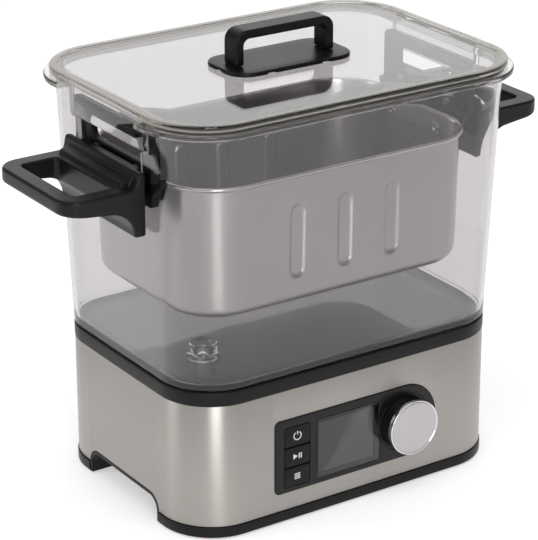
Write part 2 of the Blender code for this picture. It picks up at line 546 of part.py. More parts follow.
def build_handle(side, tag):
    """Outer handle: plate outside the tank, loop grip with a finger opening, and the neck."""
    foot = SWEEP_X - SWEEP_A
    prof = [(HPLATE_IN, HPLATE_LO + 1.5), (HPLATE_IN + 1.2, HPLATE_LO),
            (foot - 1.0, HPLATE_LO), (foot - 0.2, HPLATE_LO + 1.0)]
    for k in range(1, 7):
        ang = math.radians(15.0 * k)
        prof.append((SWEEP_X - SWEEP_A * math.cos(ang),
                     HPLATE_LO + 1.0 + SWEEP_B * math.sin(ang)))
    prof += [(176.0, 233.4), (GRIP_OUT - 4.0, GRIP_LO - 0.2), (GRIP_OUT - 1.2, GRIP_LO + 0.4),
             (GRIP_OUT, GRIP_LO + 2.0), (GRIP_OUT, GRIP_TOP - 2.4),
             (GRIP_OUT - 0.8, GRIP_TOP - 0.7), (GRIP_OUT - 2.6, GRIP_TOP), (146.0, GRIP_TOP),
             (143.2, 246.6), (141.6, 249.0), (HPLATE_OUT + 0.2, HPLATE_TOP - 1.4),
             (HPLATE_OUT - 1.2, HPLATE_TOP), (HPLATE_IN + 1.2, HPLATE_TOP),
             (HPLATE_IN, HPLATE_TOP - 1.2)]
    body = extrude("handle_" + tag, [(side * x, z) for x, z in prof], -GRIP_Y, GRIP_Y, "Y")
    plan = [(side * 120.0, -70.0), (side * 120.0, 70.0), (side * 230.0, 70.0),
            (side * 230.0, -70.0)]
    keep = rounded(60.0, GRIP_Y, GRIP_R, side * (GRIP_OUT - 60.0), 0.0)
    outside = extrude("cut_plan_" + tag, plan, 200.0, 262.0)
    cut(outside, extrude("cut_keep_" + tag, keep, 190.0, 270.0),
        extrude("cut_keepin_" + tag, box2(min(side * 118.0, side * 170.0),
                                          max(side * 118.0, side * 170.0), -75.0, 75.0),
                190.0, 270.0))
    cut(body, outside,
        extrude("cut_hole_" + tag, rounded((HOLE_X1 - HOLE_X0) / 2, HOLE_Y, HOLE_R,
                                           side * (HOLE_X0 + HOLE_X1) / 2, 0.0, 3),
                190.0, 270.0))
    lo, hi = sorted((side * (BRK_X3 + GAP), side * (HPLATE_IN + 1.5)))
    join(body, extrude("add_neck_" + tag, box2(-NECK_Y, NECK_Y, NECK_LO, NECK_TOP, 2.8),
                       lo, hi, "X"))
    lo, hi = sorted((side * (HPLATE_OUT - 1.0), side * LEDGE_X))
    join(body, extrude("add_step_" + tag, box2(-LEDGE_Y, LEDGE_Y, GRIP_TOP - 1.6, LEDGE_TOP,
                                               0.9), lo, hi, "X"))
    for k, y in enumerate((-FASTEN_Y, FASTEN_Y)):
        cut(body, peg("cut_bore_%s%d" % (tag, k), 2.4, *sorted((side * 126.0, side * 138.0)),
                      (0.0, y, HSCREW_Z), "X"))


# ======================================================================================
# lid
# ======================================================================================
def build_lid():
    """Clear lid pane with a raised bead, a locating lip and two hanging end flaps."""
    w = BEAD_W
    pane = vessel("lid_pane",
                  [(LID_X - w - 0.6, LID_Y - w - 0.6, LID_R - w - 0.6, LID_LO),
                   (LID_X - 0.8, LID_Y - 0.8, LID_R - 0.8, LID_LO),
                   (LID_X, LID_Y, LID_R, LID_LO + 0.8),
                   (LID_X, LID_Y, LID_R, LID_TOP - 1.4),
                   (LID_X - 0.7, LID_Y - 0.7, LID_R - 0.7, LID_TOP - 0.4),
                   (LID_X - 1.8, LID_Y - 1.8, LID_R - 1.8, LID_TOP)],
                  [(LID_X - w + 1.0, LID_Y - w + 1.0, LID_R - w + 1.0, LID_TOP),
                   (LID_X - w, LID_Y - w, LID_R - w, LID_TOP - 0.5),
                   (LID_X - w - 0.6, LID_Y - w - 0.6, LID_R - w - 0.6, PANE_TOP)])
    lip_x, lip_y = TANK_X1 - TANK_WALL - LIP_GAP, TANK_Y1 - TANK_WALL - LIP_GAP
    join(pane, ring("add_lip", rounded(lip_x, lip_y, LIP_R),
                    rounded(lip_x - LIP_W, lip_y - LIP_W, LIP_R - LIP_W),
                    LIP_LO, PANE_TOP - 1.0))
    for side, tag in ((-1, "l"), (1, "r")):
        lo, hi = sorted((side * APRON_X0, side * APRON_X1))
        join(pane, extrude("add_flap_" + tag,
                           box2(-APRON_Y, APRON_Y, APRON_LO, PANE_TOP - 0.8, 2.0), lo, hi, "X"))
        cut(pane, peg("cut_lscrew_" + tag, 2.4, -8.0, 6.0, (side * LSCREW_X, 0.0, LID_LO)))
    lines = [rounded(LID_X - g, LID_Y - g, LID_R - g) for g in (SEAL_INSET, SEAL_INSET + SEAL_W)]
    ring("lid_seal", *lines, FLANGE_TOP + 0.2, LID_LO - 0.2)


def build_lid_handle():
    """Handle plate and U-shaped strap on the lid, with its two screws."""
    base = stack("lid_handle_base",
                 [[(x, y, z) for x, y in rounded(LHB_X - g, LHB_Y - g, LHB_R - g)]
                  for g, z in ((0.4, LHB_LO), (0.0, LHB_LO + 0.4), (0.0, LHB_TOP - 0.9),
                               (0.3, LHB_TOP - 0.3), (1.0, LHB_TOP))])
    for side, end in ((-1, "l"), (1, "r")):
        deep = sorted((side * (LHB_X - VENT_IN), side * (LHB_X + 5.0)))
        cut(base, extrude("cut_vent_" + end, box2(*deep, -VENT_W / 2, VENT_W / 2),
                          LHB_LO - 2.0, LHB_LO + VENT_H))
        for face, way in ((-1, "front"), (1, "rear")):
            deep = sorted((face * (LHB_Y - VENT_IN), face * (LHB_Y + 5.0)))
            reach = sorted((side * VENT_X - VENT_W / 2, side * VENT_X + VENT_W / 2))
            cut(base, extrude("cut_vent_%s_%s" % (end, way), box2(*reach, *deep),
                              LHB_LO - 2.0, LHB_LO + VENT_H))
    top = box2(-LGRIP_X, LGRIP_X, LHB_TOP + GAP, LGRIP_TOP, 8.5, 5)
    outer = [(-LGRIP_X, LHB_TOP + GAP), (LGRIP_X, LHB_TOP + GAP)] + [
        p for p in top if p[1] > LHB_TOP + 9.0]
    strap = extrude("lid_grip", outer, -LGRIP_Y, LGRIP_Y, "Y")
    t = LGRIP_T
    cut(strap, extrude("cut_strap", box2(-LGRIP_X + t, LGRIP_X - t, LHB_TOP - 20.0,
                                         LGRIP_TOP - t, 4.5, 4), -20.0, 20.0, "Y"))
    for side, tag in ((-1, "left"), (1, "right")):
        foot = (side * LSCREW_X, 0.0, LID_LO - GAP)
        reach = LSCREW_TOP - foot[2]
        for piece, kind in ((base, "plate"), (strap, "strap")):
            cut(piece, peg("cut_%s_%s" % (kind, tag), 2.2, 2.0, reach + 0.3, foot))
        turned("lid_screw_" + tag, [(3.4, -1.6), (4.2, -0.8), (4.2, 0.0), (1.9, 0.0),
                                    (1.9, reach)], foot, seg=14)


# ======================================================================================
# bodies and finishes
# ======================================================================================
# body, parent body, a point on its joint's axis
BODIES = [("base_body", None, (0.0, 0.0, 0.0)),
          ("tank_body", "base_body", (0.0, 0.0, TANK_LO)),
          ("pan_body", "tank_body", (0.0, 0.0, PAN_RIM)),
          ("lid_body", "pan_body", (0.0, 0.0, LID_LO)),
          ("knob_axis", "base_body", (KNOB_X, PANEL_FACE, KNOB_Z))]
BODIES += [(name + "_axis", "base_body", ((BUTTON_X0 + BUTTON_X1) / 2, BUTTON_FACE, sum(z) / 2))
           for name, z in zip(BUTTON_NAMES, BUTTON_ZS)]

# body, finish, pieces (a star stands for any ending)
PIECES = [
    ("base_body", "brushed_steel", "base_housing"),
    ("base_body", "black_plastic", "base_skirt top_collar base_deck panel_bezel cord_gland "
                                   "switch_* encoder"),
    ("base_body", "coated_plate", "heating_plate"),
    ("base_body", "heater_tube", "heating_element"),
    ("base_body", "display_grey", "display_module"),
    ("base_body", "gloss_black", "display_lens"),
    ("base_body", "black_rubber", "foot_* tank_gasket"),
    ("base_body", "circuit_board", "power_board control_board"),
    ("base_body", "zinc_screw", "base_screw_* temperature_sensor thermal_fuse"),
    ("tank_body", "clear_plastic", "tank tank_standpipe"),
    ("pan_body", "drawn_steel", "insert_pan"),
    ("pan_body", "black_plastic", "pan_bracket_* handle_left handle_right"),
    ("pan_body", "zinc_screw", "rivet_* handle_screw_*"),
    ("lid_body", "clear_plastic", "lid_pane"),
    ("lid_body", "black_plastic", "lid_handle_base lid_grip"),
    ("lid_body", "black_rubber", "lid_seal"),
    ("lid_body", "zinc_screw", "lid_screw_*"),
    ("knob_axis", "black_plastic", "knob_body"),
    ("knob_axis", "polished_metal", "knob_cap"),
]
PIECES += [(name + "_axis", "black_plastic", name) for name in BUTTON_NAMES]


def ride(obj, empty):
    """Hang an object on an empty without moving it."""
    obj.parent = empty
    obj.matrix_parent_inverse = Matrix.Translation(-empty.matrix_world.translation)


def group_bodies():
    """Make the bodies' empties, give every piece its finish and hang it on its body."""
    solids = [obj for obj in bpy.data.objects if not obj.hide_render]
    empties = {}
    for name, parent, point in BODIES:
        empty = bpy.data.objects.new(name, None)
        bpy.context.scene.collection.objects.link(empty)
        empty.matrix_world = Matrix.Translation([c * MM for c in point])
        if parent:
            ride(empty, empties[parent])
        empties[name] = empty
    for body, finish, names in PIECES:
        for obj in solids:
            if any(fnmatch(obj.name, name) for name in names.split()):
                paint(obj, finish)
                ride(obj, empties[body])


def main():
    """Build every piece."""
    clear_scene()
    build_housing()
    build_skirt()
    build_feet()
    build_collar()
    build_inside()
    build_panel()
    build_buttons()
    build_knob()
    build_tank()
    build_pan()
    for side, tag in ((-1, "left"), (1, "right")):
        build_bracket(side, tag)
        build_rivets(side, tag)
        build_handle(side, tag)
    build_lid()
    build_lid_handle()
    group_bodies()


main()
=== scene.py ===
"""Looks of a counter-top bath cooker: steel-clad base, clear tank, lift-out pan, clear lid.

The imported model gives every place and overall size.  Shapes are worked out here in millimetres
and become metres when a mesh is made.  +Z is up and the control panel looks along -Y.
"""

import logging
import math
from dataclasses import dataclass, field
from enum import Enum
from typing import Callable, Sequence

import bpy
import numpy as np
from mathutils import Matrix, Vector


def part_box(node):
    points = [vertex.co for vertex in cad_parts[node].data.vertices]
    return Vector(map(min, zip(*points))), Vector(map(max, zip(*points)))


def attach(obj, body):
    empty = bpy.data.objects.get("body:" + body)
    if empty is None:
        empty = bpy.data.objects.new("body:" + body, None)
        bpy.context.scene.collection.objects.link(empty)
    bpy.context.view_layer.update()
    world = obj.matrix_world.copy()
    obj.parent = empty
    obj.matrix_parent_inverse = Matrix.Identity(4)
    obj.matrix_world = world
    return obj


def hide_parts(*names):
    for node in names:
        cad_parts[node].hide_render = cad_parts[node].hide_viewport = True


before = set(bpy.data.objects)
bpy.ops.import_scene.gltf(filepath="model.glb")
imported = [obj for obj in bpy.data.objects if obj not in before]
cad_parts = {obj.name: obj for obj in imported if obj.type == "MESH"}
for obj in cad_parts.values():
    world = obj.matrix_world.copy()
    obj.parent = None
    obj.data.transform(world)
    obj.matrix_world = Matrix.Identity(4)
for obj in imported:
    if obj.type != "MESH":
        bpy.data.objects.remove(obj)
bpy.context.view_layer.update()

LOG = logging.getLogger("cooker")
MM = 0.001
SHARP = 35.0   # degrees: an edge that turns by more is drawn sharp
SHARP_MOULDED = 70.0   # the same on pieces meshed from a grid, whose own steps must not show
Array = np.ndarray


# ======================================================================================
# shapes
# ======================================================================================
class Axis(Enum):
    """Row axes as indices, each with the two axes that span its cross-section."""

    X = 0
    Y = 1
    Z = 2

    @property
    def across(self) -> tuple[int, int]:
        """The two other axes, in X, Y, Z order."""
        return tuple(k for k in range(3) if k != self.value)


@dataclass(frozen=True)
class Box:
    """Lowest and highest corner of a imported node, in millimetres."""

    lo: Array
    hi: Array

    @staticmethod
    def of(node: str) -> "Box":
        """Read a node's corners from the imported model."""
        lo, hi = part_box(node)
        return Box(np.array(lo) / MM, np.array(hi) / MM)

    @property
    def mid(self) -> Array:
        """Centre of the box."""
        return (self.lo + self.hi) / 2

    @property
    def half(self) -> Array:
        """Half of each extent."""
        return (self.hi - self.lo) / 2


@dataclass(frozen=True)
class Surface:
    """Vertices in millimetres and faces of one closed shape."""

    verts: Array
    faces: list

    def mirrored(self) -> "Surface":
        """The same shape on the other side of the plane X = 0."""
        return Surface(self.verts * (-1, 1, 1), [tuple(f)[::-1] for f in self.faces])

    def plus(self, *others: "Surface") -> "Surface":
        """This shape and others that stand clear of it, as one mesh."""
        verts, faces = [self.verts], list(self.faces)
        count = len(self.verts)
        for other in others:
            faces += [tuple(int(k) + count for k in f) for f in other.faces]
            verts.append(other.verts)
            count += len(other.verts)
        return Surface(np.concatenate(verts), faces)


def grid_faces(rows: int, cols: int, wrap: bool) -> Array:
    """Quads between the rows of a grid whose columns close on themselves.

    Args:
        rows: number of rows.
        cols: number of points in a row.
        wrap: also join the last row to the first.

    Returns:
        Vertex numbers, four to a face.
    """
    i = np.arange(rows if wrap else rows - 1)[:, None]
    j = np.arange(cols)[None, :]
    up, side = (i + 1) % rows, (j + 1) % cols
    quads = np.stack([i * cols + j, i * cols + side, up * cols + side, up * cols + j], -1)
    return quads.reshape(-1, 4)


def outward(verts: Array, faces: list) -> list:
    """Turn all faces round if the shape's signed volume is negative.

    The volume is the sum over fan triangles of p0 . (p1 x p2) / 6, about the shape's middle.
    """
    spots = verts - verts.mean(0)
    size = np.array([len(f) for f in faces])
    flat = np.concatenate([np.asarray(f) for f in faces])
    first = np.repeat(np.cumsum(size) - size, size - 2)
    step = np.arange(len(first)) - np.repeat(np.cumsum(size - 2) - (size - 2), size - 2)
    a, b, c = (spots[flat[k]] for k in (first, first + step + 1, first + step + 2))
    volume = np.einsum("ij,ij->", a, np.cross(b, c))
    return faces if volume > 0 else [tuple(f)[::-1] for f in faces]


def skin(loops: Array, wrap: bool = False) -> Surface:
    """Closed surface over a stack of loops: wrapped into a ring, or with two flat ends.

    Args:
        loops: points as rows by columns by three.
        wrap: join the last loop to the first.

    Returns:
        The surface, facing outwards.
    """
    rows, cols = loops.shape[:2]
    verts = loops.reshape(-1, 3)
    faces = [tuple(q) for q in grid_faces(rows, cols, wrap).tolist()]
    if not wrap:
        faces.append(tuple(range(cols))[::-1])
        faces.append(tuple(range((rows - 1) * cols, rows * cols)))
    return Surface(verts, outward(verts, faces))


def fillet(corners: Sequence[Sequence[float]], steps: int = 5, closed: bool = False) -> Array:
    """Polyline whose corners are rounded by arcs.

    The arc at a corner touches both sides at radius / tan(half angle) from it, and its points
    turn evenly about a centre at radius / sin(half angle) along the bisector.

    Args:
        corners: rows of two coordinates and a radius; a radius of zero keeps the corner.
        steps: segments in each arc.
        closed: whether the last corner joins the first.

    Returns:
        Points, two coordinates each.
    """
    rows = np.array(corners, float)
    spot, radius = rows[:, :2], rows[:, 2].copy()
    if not closed:
        radius[[0, -1]] = 0.0
    back = np.roll(spot, 1, 0) - spot
    ahead = np.roll(spot, -1, 0) - spot
    back /= np.linalg.norm(back, axis=1, keepdims=True)
    ahead /= np.linalg.norm(ahead, axis=1, keepdims=True)
    half = np.arccos(np.clip((back * ahead).sum(1), -0.99999, 0.99999)) / 2
    bisector = back + ahead
    bisector /= np.maximum(np.linalg.norm(bisector, axis=1, keepdims=True), 1e-9)
    centre = spot + bisector * (radius / np.sin(half))[:, None]
    start = spot + back * (radius / np.tan(half))[:, None] - centre
    sweep = (math.pi - 2 * half) * np.sign(back[:, 1] * ahead[:, 0] - back[:, 0] * ahead[:, 1])
    turn = sweep[:, None] * np.linspace(0, 1, steps + 1)
    x = start[:, :1] * np.cos(turn) - start[:, 1:] * np.sin(turn)
    y = start[:, :1] * np.sin(turn) + start[:, 1:] * np.cos(turn)
    points = centre[:, None] + np.stack([x, y], -1)
    keep = np.ones((len(rows), steps + 1), bool)
    keep[radius <= 0, 1:] = False
    points[radius <= 0, 0] = spot[radius <= 0]
    return points[keep]


@dataclass(frozen=True)
class Outline:
    """Rounded rectangle round the Z axis whose sides may swell slightly outwards."""

    half_x: float
    half_y: float
    radius: float
    bow: float = 0.0

    def ring(self, runs: tuple[int, int] = (16, 12), arc: int = 16) -> tuple[Array, Array]:
        """Points and outward normals, counter-clockwise.

        Args:
            runs: segments in the sides along X and along Y.
            arc: segments in each corner.

        Returns:
            Points and normals, two coordinates each.
        """
        sign = np.array([(1, 1), (-1, 1), (-1, -1), (1, -1)], float)
        centre = sign * (self.half_x - self.radius, self.half_y - self.radius)
        angle = math.pi / 2 * (np.arange(4)[:, None] + np.linspace(0, 1, arc + 1))
        facing = np.stack([np.cos(angle), np.sin(angle)], -1)
        bend = centre[:, None] + self.radius * facing
        parts, normals = [], []
        for side in range(4):
            share = np.linspace(0, 1, runs[side % 2] + 1)[1:-1, None]
            line = bend[side, -1] * (1 - share) + bend[(side + 1) % 4, 0] * share
            parts += [bend[side], line]
            normals += [facing[side], np.repeat(facing[side, -1:], len(line), 0)]
        points, normal = np.concatenate(parts), np.concatenate(normals)
        swell = 1 - (points[:, ::-1] / (self.half_y, self.half_x)) ** 2
        return points + self.bow * normal * swell, normal


def swept_loops(rows: Array, outlines: Sequence[Outline], runs: tuple[int, int] = (16, 12),
                arc: int = 16) -> Array:
    """Loops of a profile that is carried round outlines.

    Each row of the profile is (growth, height, place): the loop at that height lies between the
    outlines on either side of the place, and moves out along the normals by the growth.

    Args:
        rows: the profile.
        outlines: the outlines at places 0, 1, 2 and so on.
        runs: segments in the sides along X and along Y.
        arc: segments in each corner.

    Returns:
        Points as rows by columns by three.
    """
    rows = np.asarray(rows, float)
    rings = np.stack([outline.ring(runs, arc)[0] for outline in outlines])
    normals = outlines[0].ring(runs, arc)[1]
    below = np.clip(np.floor(rows[:, 2]).astype(int), 0, max(len(outlines) - 2, 0))
    above = np.minimum(below + 1, len(outlines) - 1)
    share = (rows[:, 2] - below)[:, None, None]
    flat = rings[below] * (1 - share) + rings[above] * share + rows[:, :1, None] * normals
    height = np.broadcast_to(rows[:, 1, None, None], flat.shape[:2] + (1,))
    return np.concatenate([flat, height], -1)


def swept(rows: Array, outline: Outline, wrap: bool = False,
          runs: tuple[int, int] = (16, 12), arc: int = 16) -> Surface:
    """Carry a profile of (growth, height) round one outline; see swept_loops."""
    profile = np.column_stack([rows, np.zeros(len(rows))])
    return skin(swept_loops(profile, [outline], runs, arc), wrap)


def placed(place: float, corners: Sequence[Sequence[float]], steps: int = 5) -> Array:
    """A rounded stretch of profile that lies at one place between the outlines."""
    rows = fillet(corners, steps)
    return np.column_stack([rows, np.full(len(rows), place)])


def turned(rows: Array, at: Sequence[float], axis: Axis = Axis.Z, wrap: bool = False,
           count: int = 64) -> Surface:
    """Turn a profile of (radius, height) about an axis through a point."""
    rows = np.asarray(rows, float)
    angle = 2 * math.pi * np.arange(count) / count
    loops = np.zeros((len(rows), count, 3))
    first, second = axis.across
    loops[..., first] = rows[:, :1] * np.cos(angle)
    loops[..., second] = rows[:, :1] * np.sin(angle)
    loops[..., axis.value] = rows[:, 1:2]
    return skin(loops + np.array(at, float), wrap)


def prism(outline: Array, axis: Axis, lo: float, hi: float, edge: float = 0.0,
          steps: int = 4) -> Surface:
    """Straight solid over an outline, with rounded rims.

    Towards each end the loop draws in along its normals as a quarter circle of the edge radius.

    Args:
        outline: points of the cross-section, two coordinates each.
        axis: direction of extrusion.
        lo: lower end.
        hi: upper end.
        edge: rim radius.
        steps: segments in each rim.

    Returns:
        The closed surface.
    """
    along = np.roll(outline, -1, 0) - np.roll(outline, 1, 0)
    normal = np.stack([along[:, 1], -along[:, 0]], -1)
    normal /= np.linalg.norm(normal, axis=1, keepdims=True)
    area = np.sum(outline[:, 0] * np.roll(outline[:, 1], -1)
                  - outline[:, 1] * np.roll(outline[:, 0], -1))
    normal *= np.sign(area)
    turn = np.linspace(0, math.pi / 2, steps + 1) if edge > 0 else np.array([0.0])
    draw = edge * (1 - np.cos(turn))
    rise = edge * (1 - np.sin(turn))
    inset = np.concatenate([draw[::-1], draw])
    height = np.concatenate([(lo + rise)[::-1], hi - rise])
    flat = outline - inset[:, None, None] * normal
    loops = np.zeros(flat.shape[:2] + (3,))
    first, second = axis.across
    loops[..., first], loops[..., second] = flat[..., 0], flat[..., 1]
    loops[..., axis.value] = height[:, None]
    return skin(loops)


def window(x0: float, x1: float, y0: float, y1: float, radius: float, steps: int = 6) -> Array:
    """Rounded rectangle from its limits."""
    return fillet([(x0, y0, radius), (x1, y0, radius), (x1, y1, radius), (x0, y1, radius)],
                  steps, closed=True)


# ======================================================================================
# moulded solids from distance fields
# ======================================================================================
@dataclass(frozen=True)
class Moulding:
    """A solid given by its signed distance in millimetres, negative inside."""

    distance: Callable[[Array], Array]

    @staticmethod
    def block(centre: Sequence[float], half: Sequence[float], edge: float) -> "Moulding":
        """Box with rounded edges."""
        middle, reach = np.array(centre, float), np.array(half, float) - edge

        def distance(p: Array) -> Array:
            """Distance past the shrunk box, less the edge radius."""
            away = np.abs(p - middle) - reach
            outside = np.linalg.norm(np.maximum(away, 0), axis=1)
            return outside + np.minimum(away.max(1), 0) - edge
        return Moulding(distance)

    @staticmethod
    def prism(outline: Array, axis: Axis, lo: float, hi: float, edge: float = 0.0) -> "Moulding":
        """Straight solid over a closed outline, drawn in by the edge radius and grown back."""
        spans = list(zip(outline, np.roll(outline, -1, 0)))

        def distance(p: Array) -> Array:
            """Distance to the outline's sides and to both ends, less the edge radius."""
            flat = p[:, axis.across]
            best = np.full(len(p), 1e9)
            inside = np.zeros(len(p), bool)
            for a, b in spans:
                side, reach = b - a, flat - a
                share = np.clip(reach @ side / (side @ side), 0, 1)
                best = np.minimum(best, ((reach - share[:, None] * side) ** 2).sum(1))
                rising = (a[1] > flat[:, 1]) != (b[1] > flat[:, 1])
                cross = (flat[:, 1] - a[1]) * side[0] / (side[1] if side[1] else 1e-9) + a[0]
                inside ^= rising & (flat[:, 0] < cross)
            plane = np.where(inside, -1, 1) * np.sqrt(best) + edge
            level = np.abs(p[:, axis.value] - (lo + hi) / 2) - (hi - lo) / 2 + edge
            both = np.stack([plane, level], 1)
            outside = np.linalg.norm(np.maximum(both, 0), axis=1)
            return outside + np.minimum(both.max(1), 0) - edge
        return Moulding(distance)

    def joined(self, other: "Moulding", blend: float = 0.01) -> "Moulding":
        """Union whose inner corner is filled over the blend length."""
        def distance(p: Array) -> Array:
            """Smooth minimum of both distances."""
            a, b = self.distance(p), other.distance(p)
            share = np.clip(0.5 + 0.5 * (b - a) / blend, 0, 1)
            return b * (1 - share) + a * share - blend * share * (1 - share)
        return Moulding(distance)

    def common(self, other: "Moulding", blend: float = 0.01) -> "Moulding":
        """Overlap whose rim is eased over the blend length."""
        def distance(p: Array) -> Array:
            """Smooth maximum of both distances."""
            a, b = self.distance(p), other.distance(p)
            share = np.clip(0.5 - 0.5 * (b - a) / blend, 0, 1)
            return b * (1 - share) + a * share + blend * share * (1 - share)
        return Moulding(distance)

    def cut(self, other: "Moulding", blend: float = 0.01) -> "Moulding":
        """Difference whose rim is eased over the blend length."""
        return self.common(Moulding(lambda p: -other.distance(p)), blend)

    def surface(self, lo: Sequence[float], hi: Sequence[float], cell: float) -> Surface:
        """Mesh the zero level: one point in each grid cell that it crosses, joined across edges.

        A cell's point is the mean of its edges' crossings, then slides along the gradient onto
        the surface.  Every grid edge whose ends differ in sign gives the face between its cells.

        Args:
            lo: lowest corner of the space to mesh.
            hi: highest corner.
            cell: grid spacing.

        Returns:
            The closed surface.
        """
        low = np.array(lo, float) - 2 * cell
        count = np.ceil((np.array(hi, float) + 2 * cell - low) / cell).astype(int) + 1
        mesh = np.meshgrid(*[low[k] + cell * np.arange(count[k]) for k in range(3)], indexing="ij")
        grid = np.stack(mesh, -1)
        value = self.distance(grid.reshape(-1, 3)).reshape(count)
        cells = tuple(count - 1)
        total, hits = np.zeros(cells + (3,)), np.zeros(cells)
        edges = []
        for k in range(3):
            first, second = Axis(k).across
            a = np.take(value, range(count[k] - 1), k)
            b = np.take(value, range(1, count[k]), k)
            cross = (a < 0) != (b < 0)
            share = np.where(cross, a / np.where(cross, a - b, 1), 0)
            spot = np.take(grid, range(count[k] - 1), k).copy()
            spot[..., k] += share * cell
            edges.append((first, second, cross, a < 0))
            for du in (0, 1):
                for dv in (0, 1):
                    part = [slice(None)] * 3
                    part[first] = slice(du, du + count[first] - 1)
                    part[second] = slice(dv, dv + count[second] - 1)
                    hit = cross[tuple(part)]
                    total += spot[tuple(part)] * hit[..., None]
                    hits += hit
        active = hits > 0
        number = np.full(cells, -1)
        number[active] = np.arange(active.sum())
        verts = total[active] / hits[active][:, None]
        quads = []
        for first, second, cross, inside in edges:
            spots = np.argwhere(cross)
            spots = spots[(spots[:, first] > 0) & (spots[:, second] > 0)
                          & (spots[:, first] < count[first] - 1)
                          & (spots[:, second] < count[second] - 1)]
            around = []
            for du, dv in ((1, 1), (0, 1), (0, 0), (1, 0)):
                cell_at = spots.copy()
                cell_at[:, first] -= du
                cell_at[:, second] -= dv
                around.append(number[tuple(cell_at.T)])
            quad = np.stack(around, 1)
            even = (first, second) != (0, 2)
            forward = inside[tuple(spots.T)] == even
            quads.append(np.where(forward[:, None], quad, quad[:, ::-1]))
        for _ in range(3):
            verts = verts - self.slope(verts) * self.distance(verts)[:, None]
        faces = [tuple(q) for q in np.concatenate(quads).tolist()]
        return Surface(verts, outward(verts, faces))

    def slope(self, p: Array, reach: float = 0.05) -> Array:
        """Unit gradient of the distance, by central differences."""
        parts = []
        for k in range(3):
            step = np.zeros(3)
            step[k] = reach
            parts.append(self.distance(p + step) - self.distance(p - step))
        slope = np.stack(parts, 1)
        return slope / np.maximum(np.linalg.norm(slope, axis=1, keepdims=True), 1e-9)


# ======================================================================================
# objects
# ======================================================================================
def smooth(mesh: bpy.types.Mesh, sharp: float) -> None:
    """Shade a mesh smooth but for the edges past an angle in degrees."""
    mesh.shade_smooth()
    mesh.set_sharp_from_angle(angle=math.radians(sharp))


def build_mesh(name: str, surface: Surface, sharp: float = SHARP) -> bpy.types.Object:
    """Make an object at the origin from a surface, smooth but for its sharp edges."""
    mesh = bpy.data.meshes.new(name)
    mesh.from_pydata((surface.verts * MM).tolist(), [], surface.faces)
    mesh.validate()
    smooth(mesh, sharp)
    obj = bpy.data.objects.new(name, mesh)
    bpy.context.scene.collection.objects.link(obj)
    return obj


def carve(obj: bpy.types.Object, tools: Sequence[Surface], joined: bool = False) -> None:
    """Cut tools out of an object, or join them to it, and keep the result as its mesh.

    Args:
        obj: the object to change.
        tools: closed surfaces.
        joined: add the tools instead of cutting them out.

    Raises:
        ValueError: if nothing is left of the object.
    """
    made = []
    for count, surface in enumerate(tools):
        tool = build_mesh(f"{obj.name}_tool_{count}", surface)
        change = obj.modifiers.new(tool.name, "BOOLEAN")
        change.operation = "UNION" if joined else "DIFFERENCE"
        change.solver = "EXACT"
        change.object = tool
        made.append(tool)
    bpy.context.view_layer.update()
    evaluated = obj.evaluated_get(bpy.context.evaluated_depsgraph_get())
    mesh = bpy.data.meshes.new_from_object(evaluated)
    obj.modifiers.clear()
    obj.data = mesh
    for tool in made:
        bpy.data.objects.remove(tool)
    if not mesh.polygons:
        raise ValueError(f"nothing is left of {obj.name}")
    smooth(mesh, SHARP)


# ======================================================================================
# finishes
# ======================================================================================
def linear(code: str) -> tuple[float, float, float, float]:
    """sRGB hex to linear RGBA."""
    parts = [int(code[k:k + 2], 16) / 255 for k in (1, 3, 5)]
    rgb = [v / 12.92 if v <= 0.04045 else ((v + 0.055) / 1.055) ** 2.4 for v in parts]
    return (*rgb, 1.0)


def toned(code: str, spread: float) -> tuple[tuple, tuple]:
    """A colour a little darker and a little lighter, as linear RGBA."""
    rgb = linear(code)[:3]
    return tuple((*[part * share for part in rgb], 1.0) for share in (1 - spread, 1 + spread))


def add(tree: bpy.types.NodeTree, kind: str, inputs: dict, **settings) -> bpy.types.Node:
    """Add a node with its settings; an input is a value or the socket that feeds it."""
    node = tree.nodes.new(kind)
    for key, value in settings.items():
        setattr(node, key, value)
    for key, value in inputs.items():
        if isinstance(value, bpy.types.NodeSocket):
            tree.links.new(value, node.inputs[key])
        else:
            node.inputs[key].default_value = value
    return node


class Finish:
    """A procedural material, made once and shared."""

    name: str

    def material(self) -> bpy.types.Material:
        """Return the material, building it on first use."""
        found = bpy.data.materials.get(self.name)
        if found:
            return found
        made = bpy.data.materials.new(self.name)
        made.use_nodes = True
        tree = made.node_tree
        tree.nodes.clear()
        shader = self.shade(tree)
        out = add(tree, "ShaderNodeOutputMaterial", {"Surface": shader})
        out.is_active_output = True
        self.fill(tree, out)
        return made

    def fill(self, tree: bpy.types.NodeTree, out: bpy.types.Node) -> None:
        """Give the inside of the piece its own shader; most finishes have none."""

    def shade(self, tree: bpy.types.NodeTree) -> bpy.types.NodeSocket:
        """Build the nodes and return the surface socket."""
        raise NotImplementedError

    @staticmethod
    def places(tree: bpy.types.NodeTree, spacing: Sequence[float]) -> bpy.types.NodeSocket:
        """Object coordinates in units of a spacing, given in millimetres for each axis."""
        where = add(tree, "ShaderNodeTexCoord", {})
        scale = [1 / (s * MM) for s in spacing]
        return add(tree, "ShaderNodeMapping", {"Vector": where.outputs["Object"],
                                               "Scale": scale}).outputs[0]


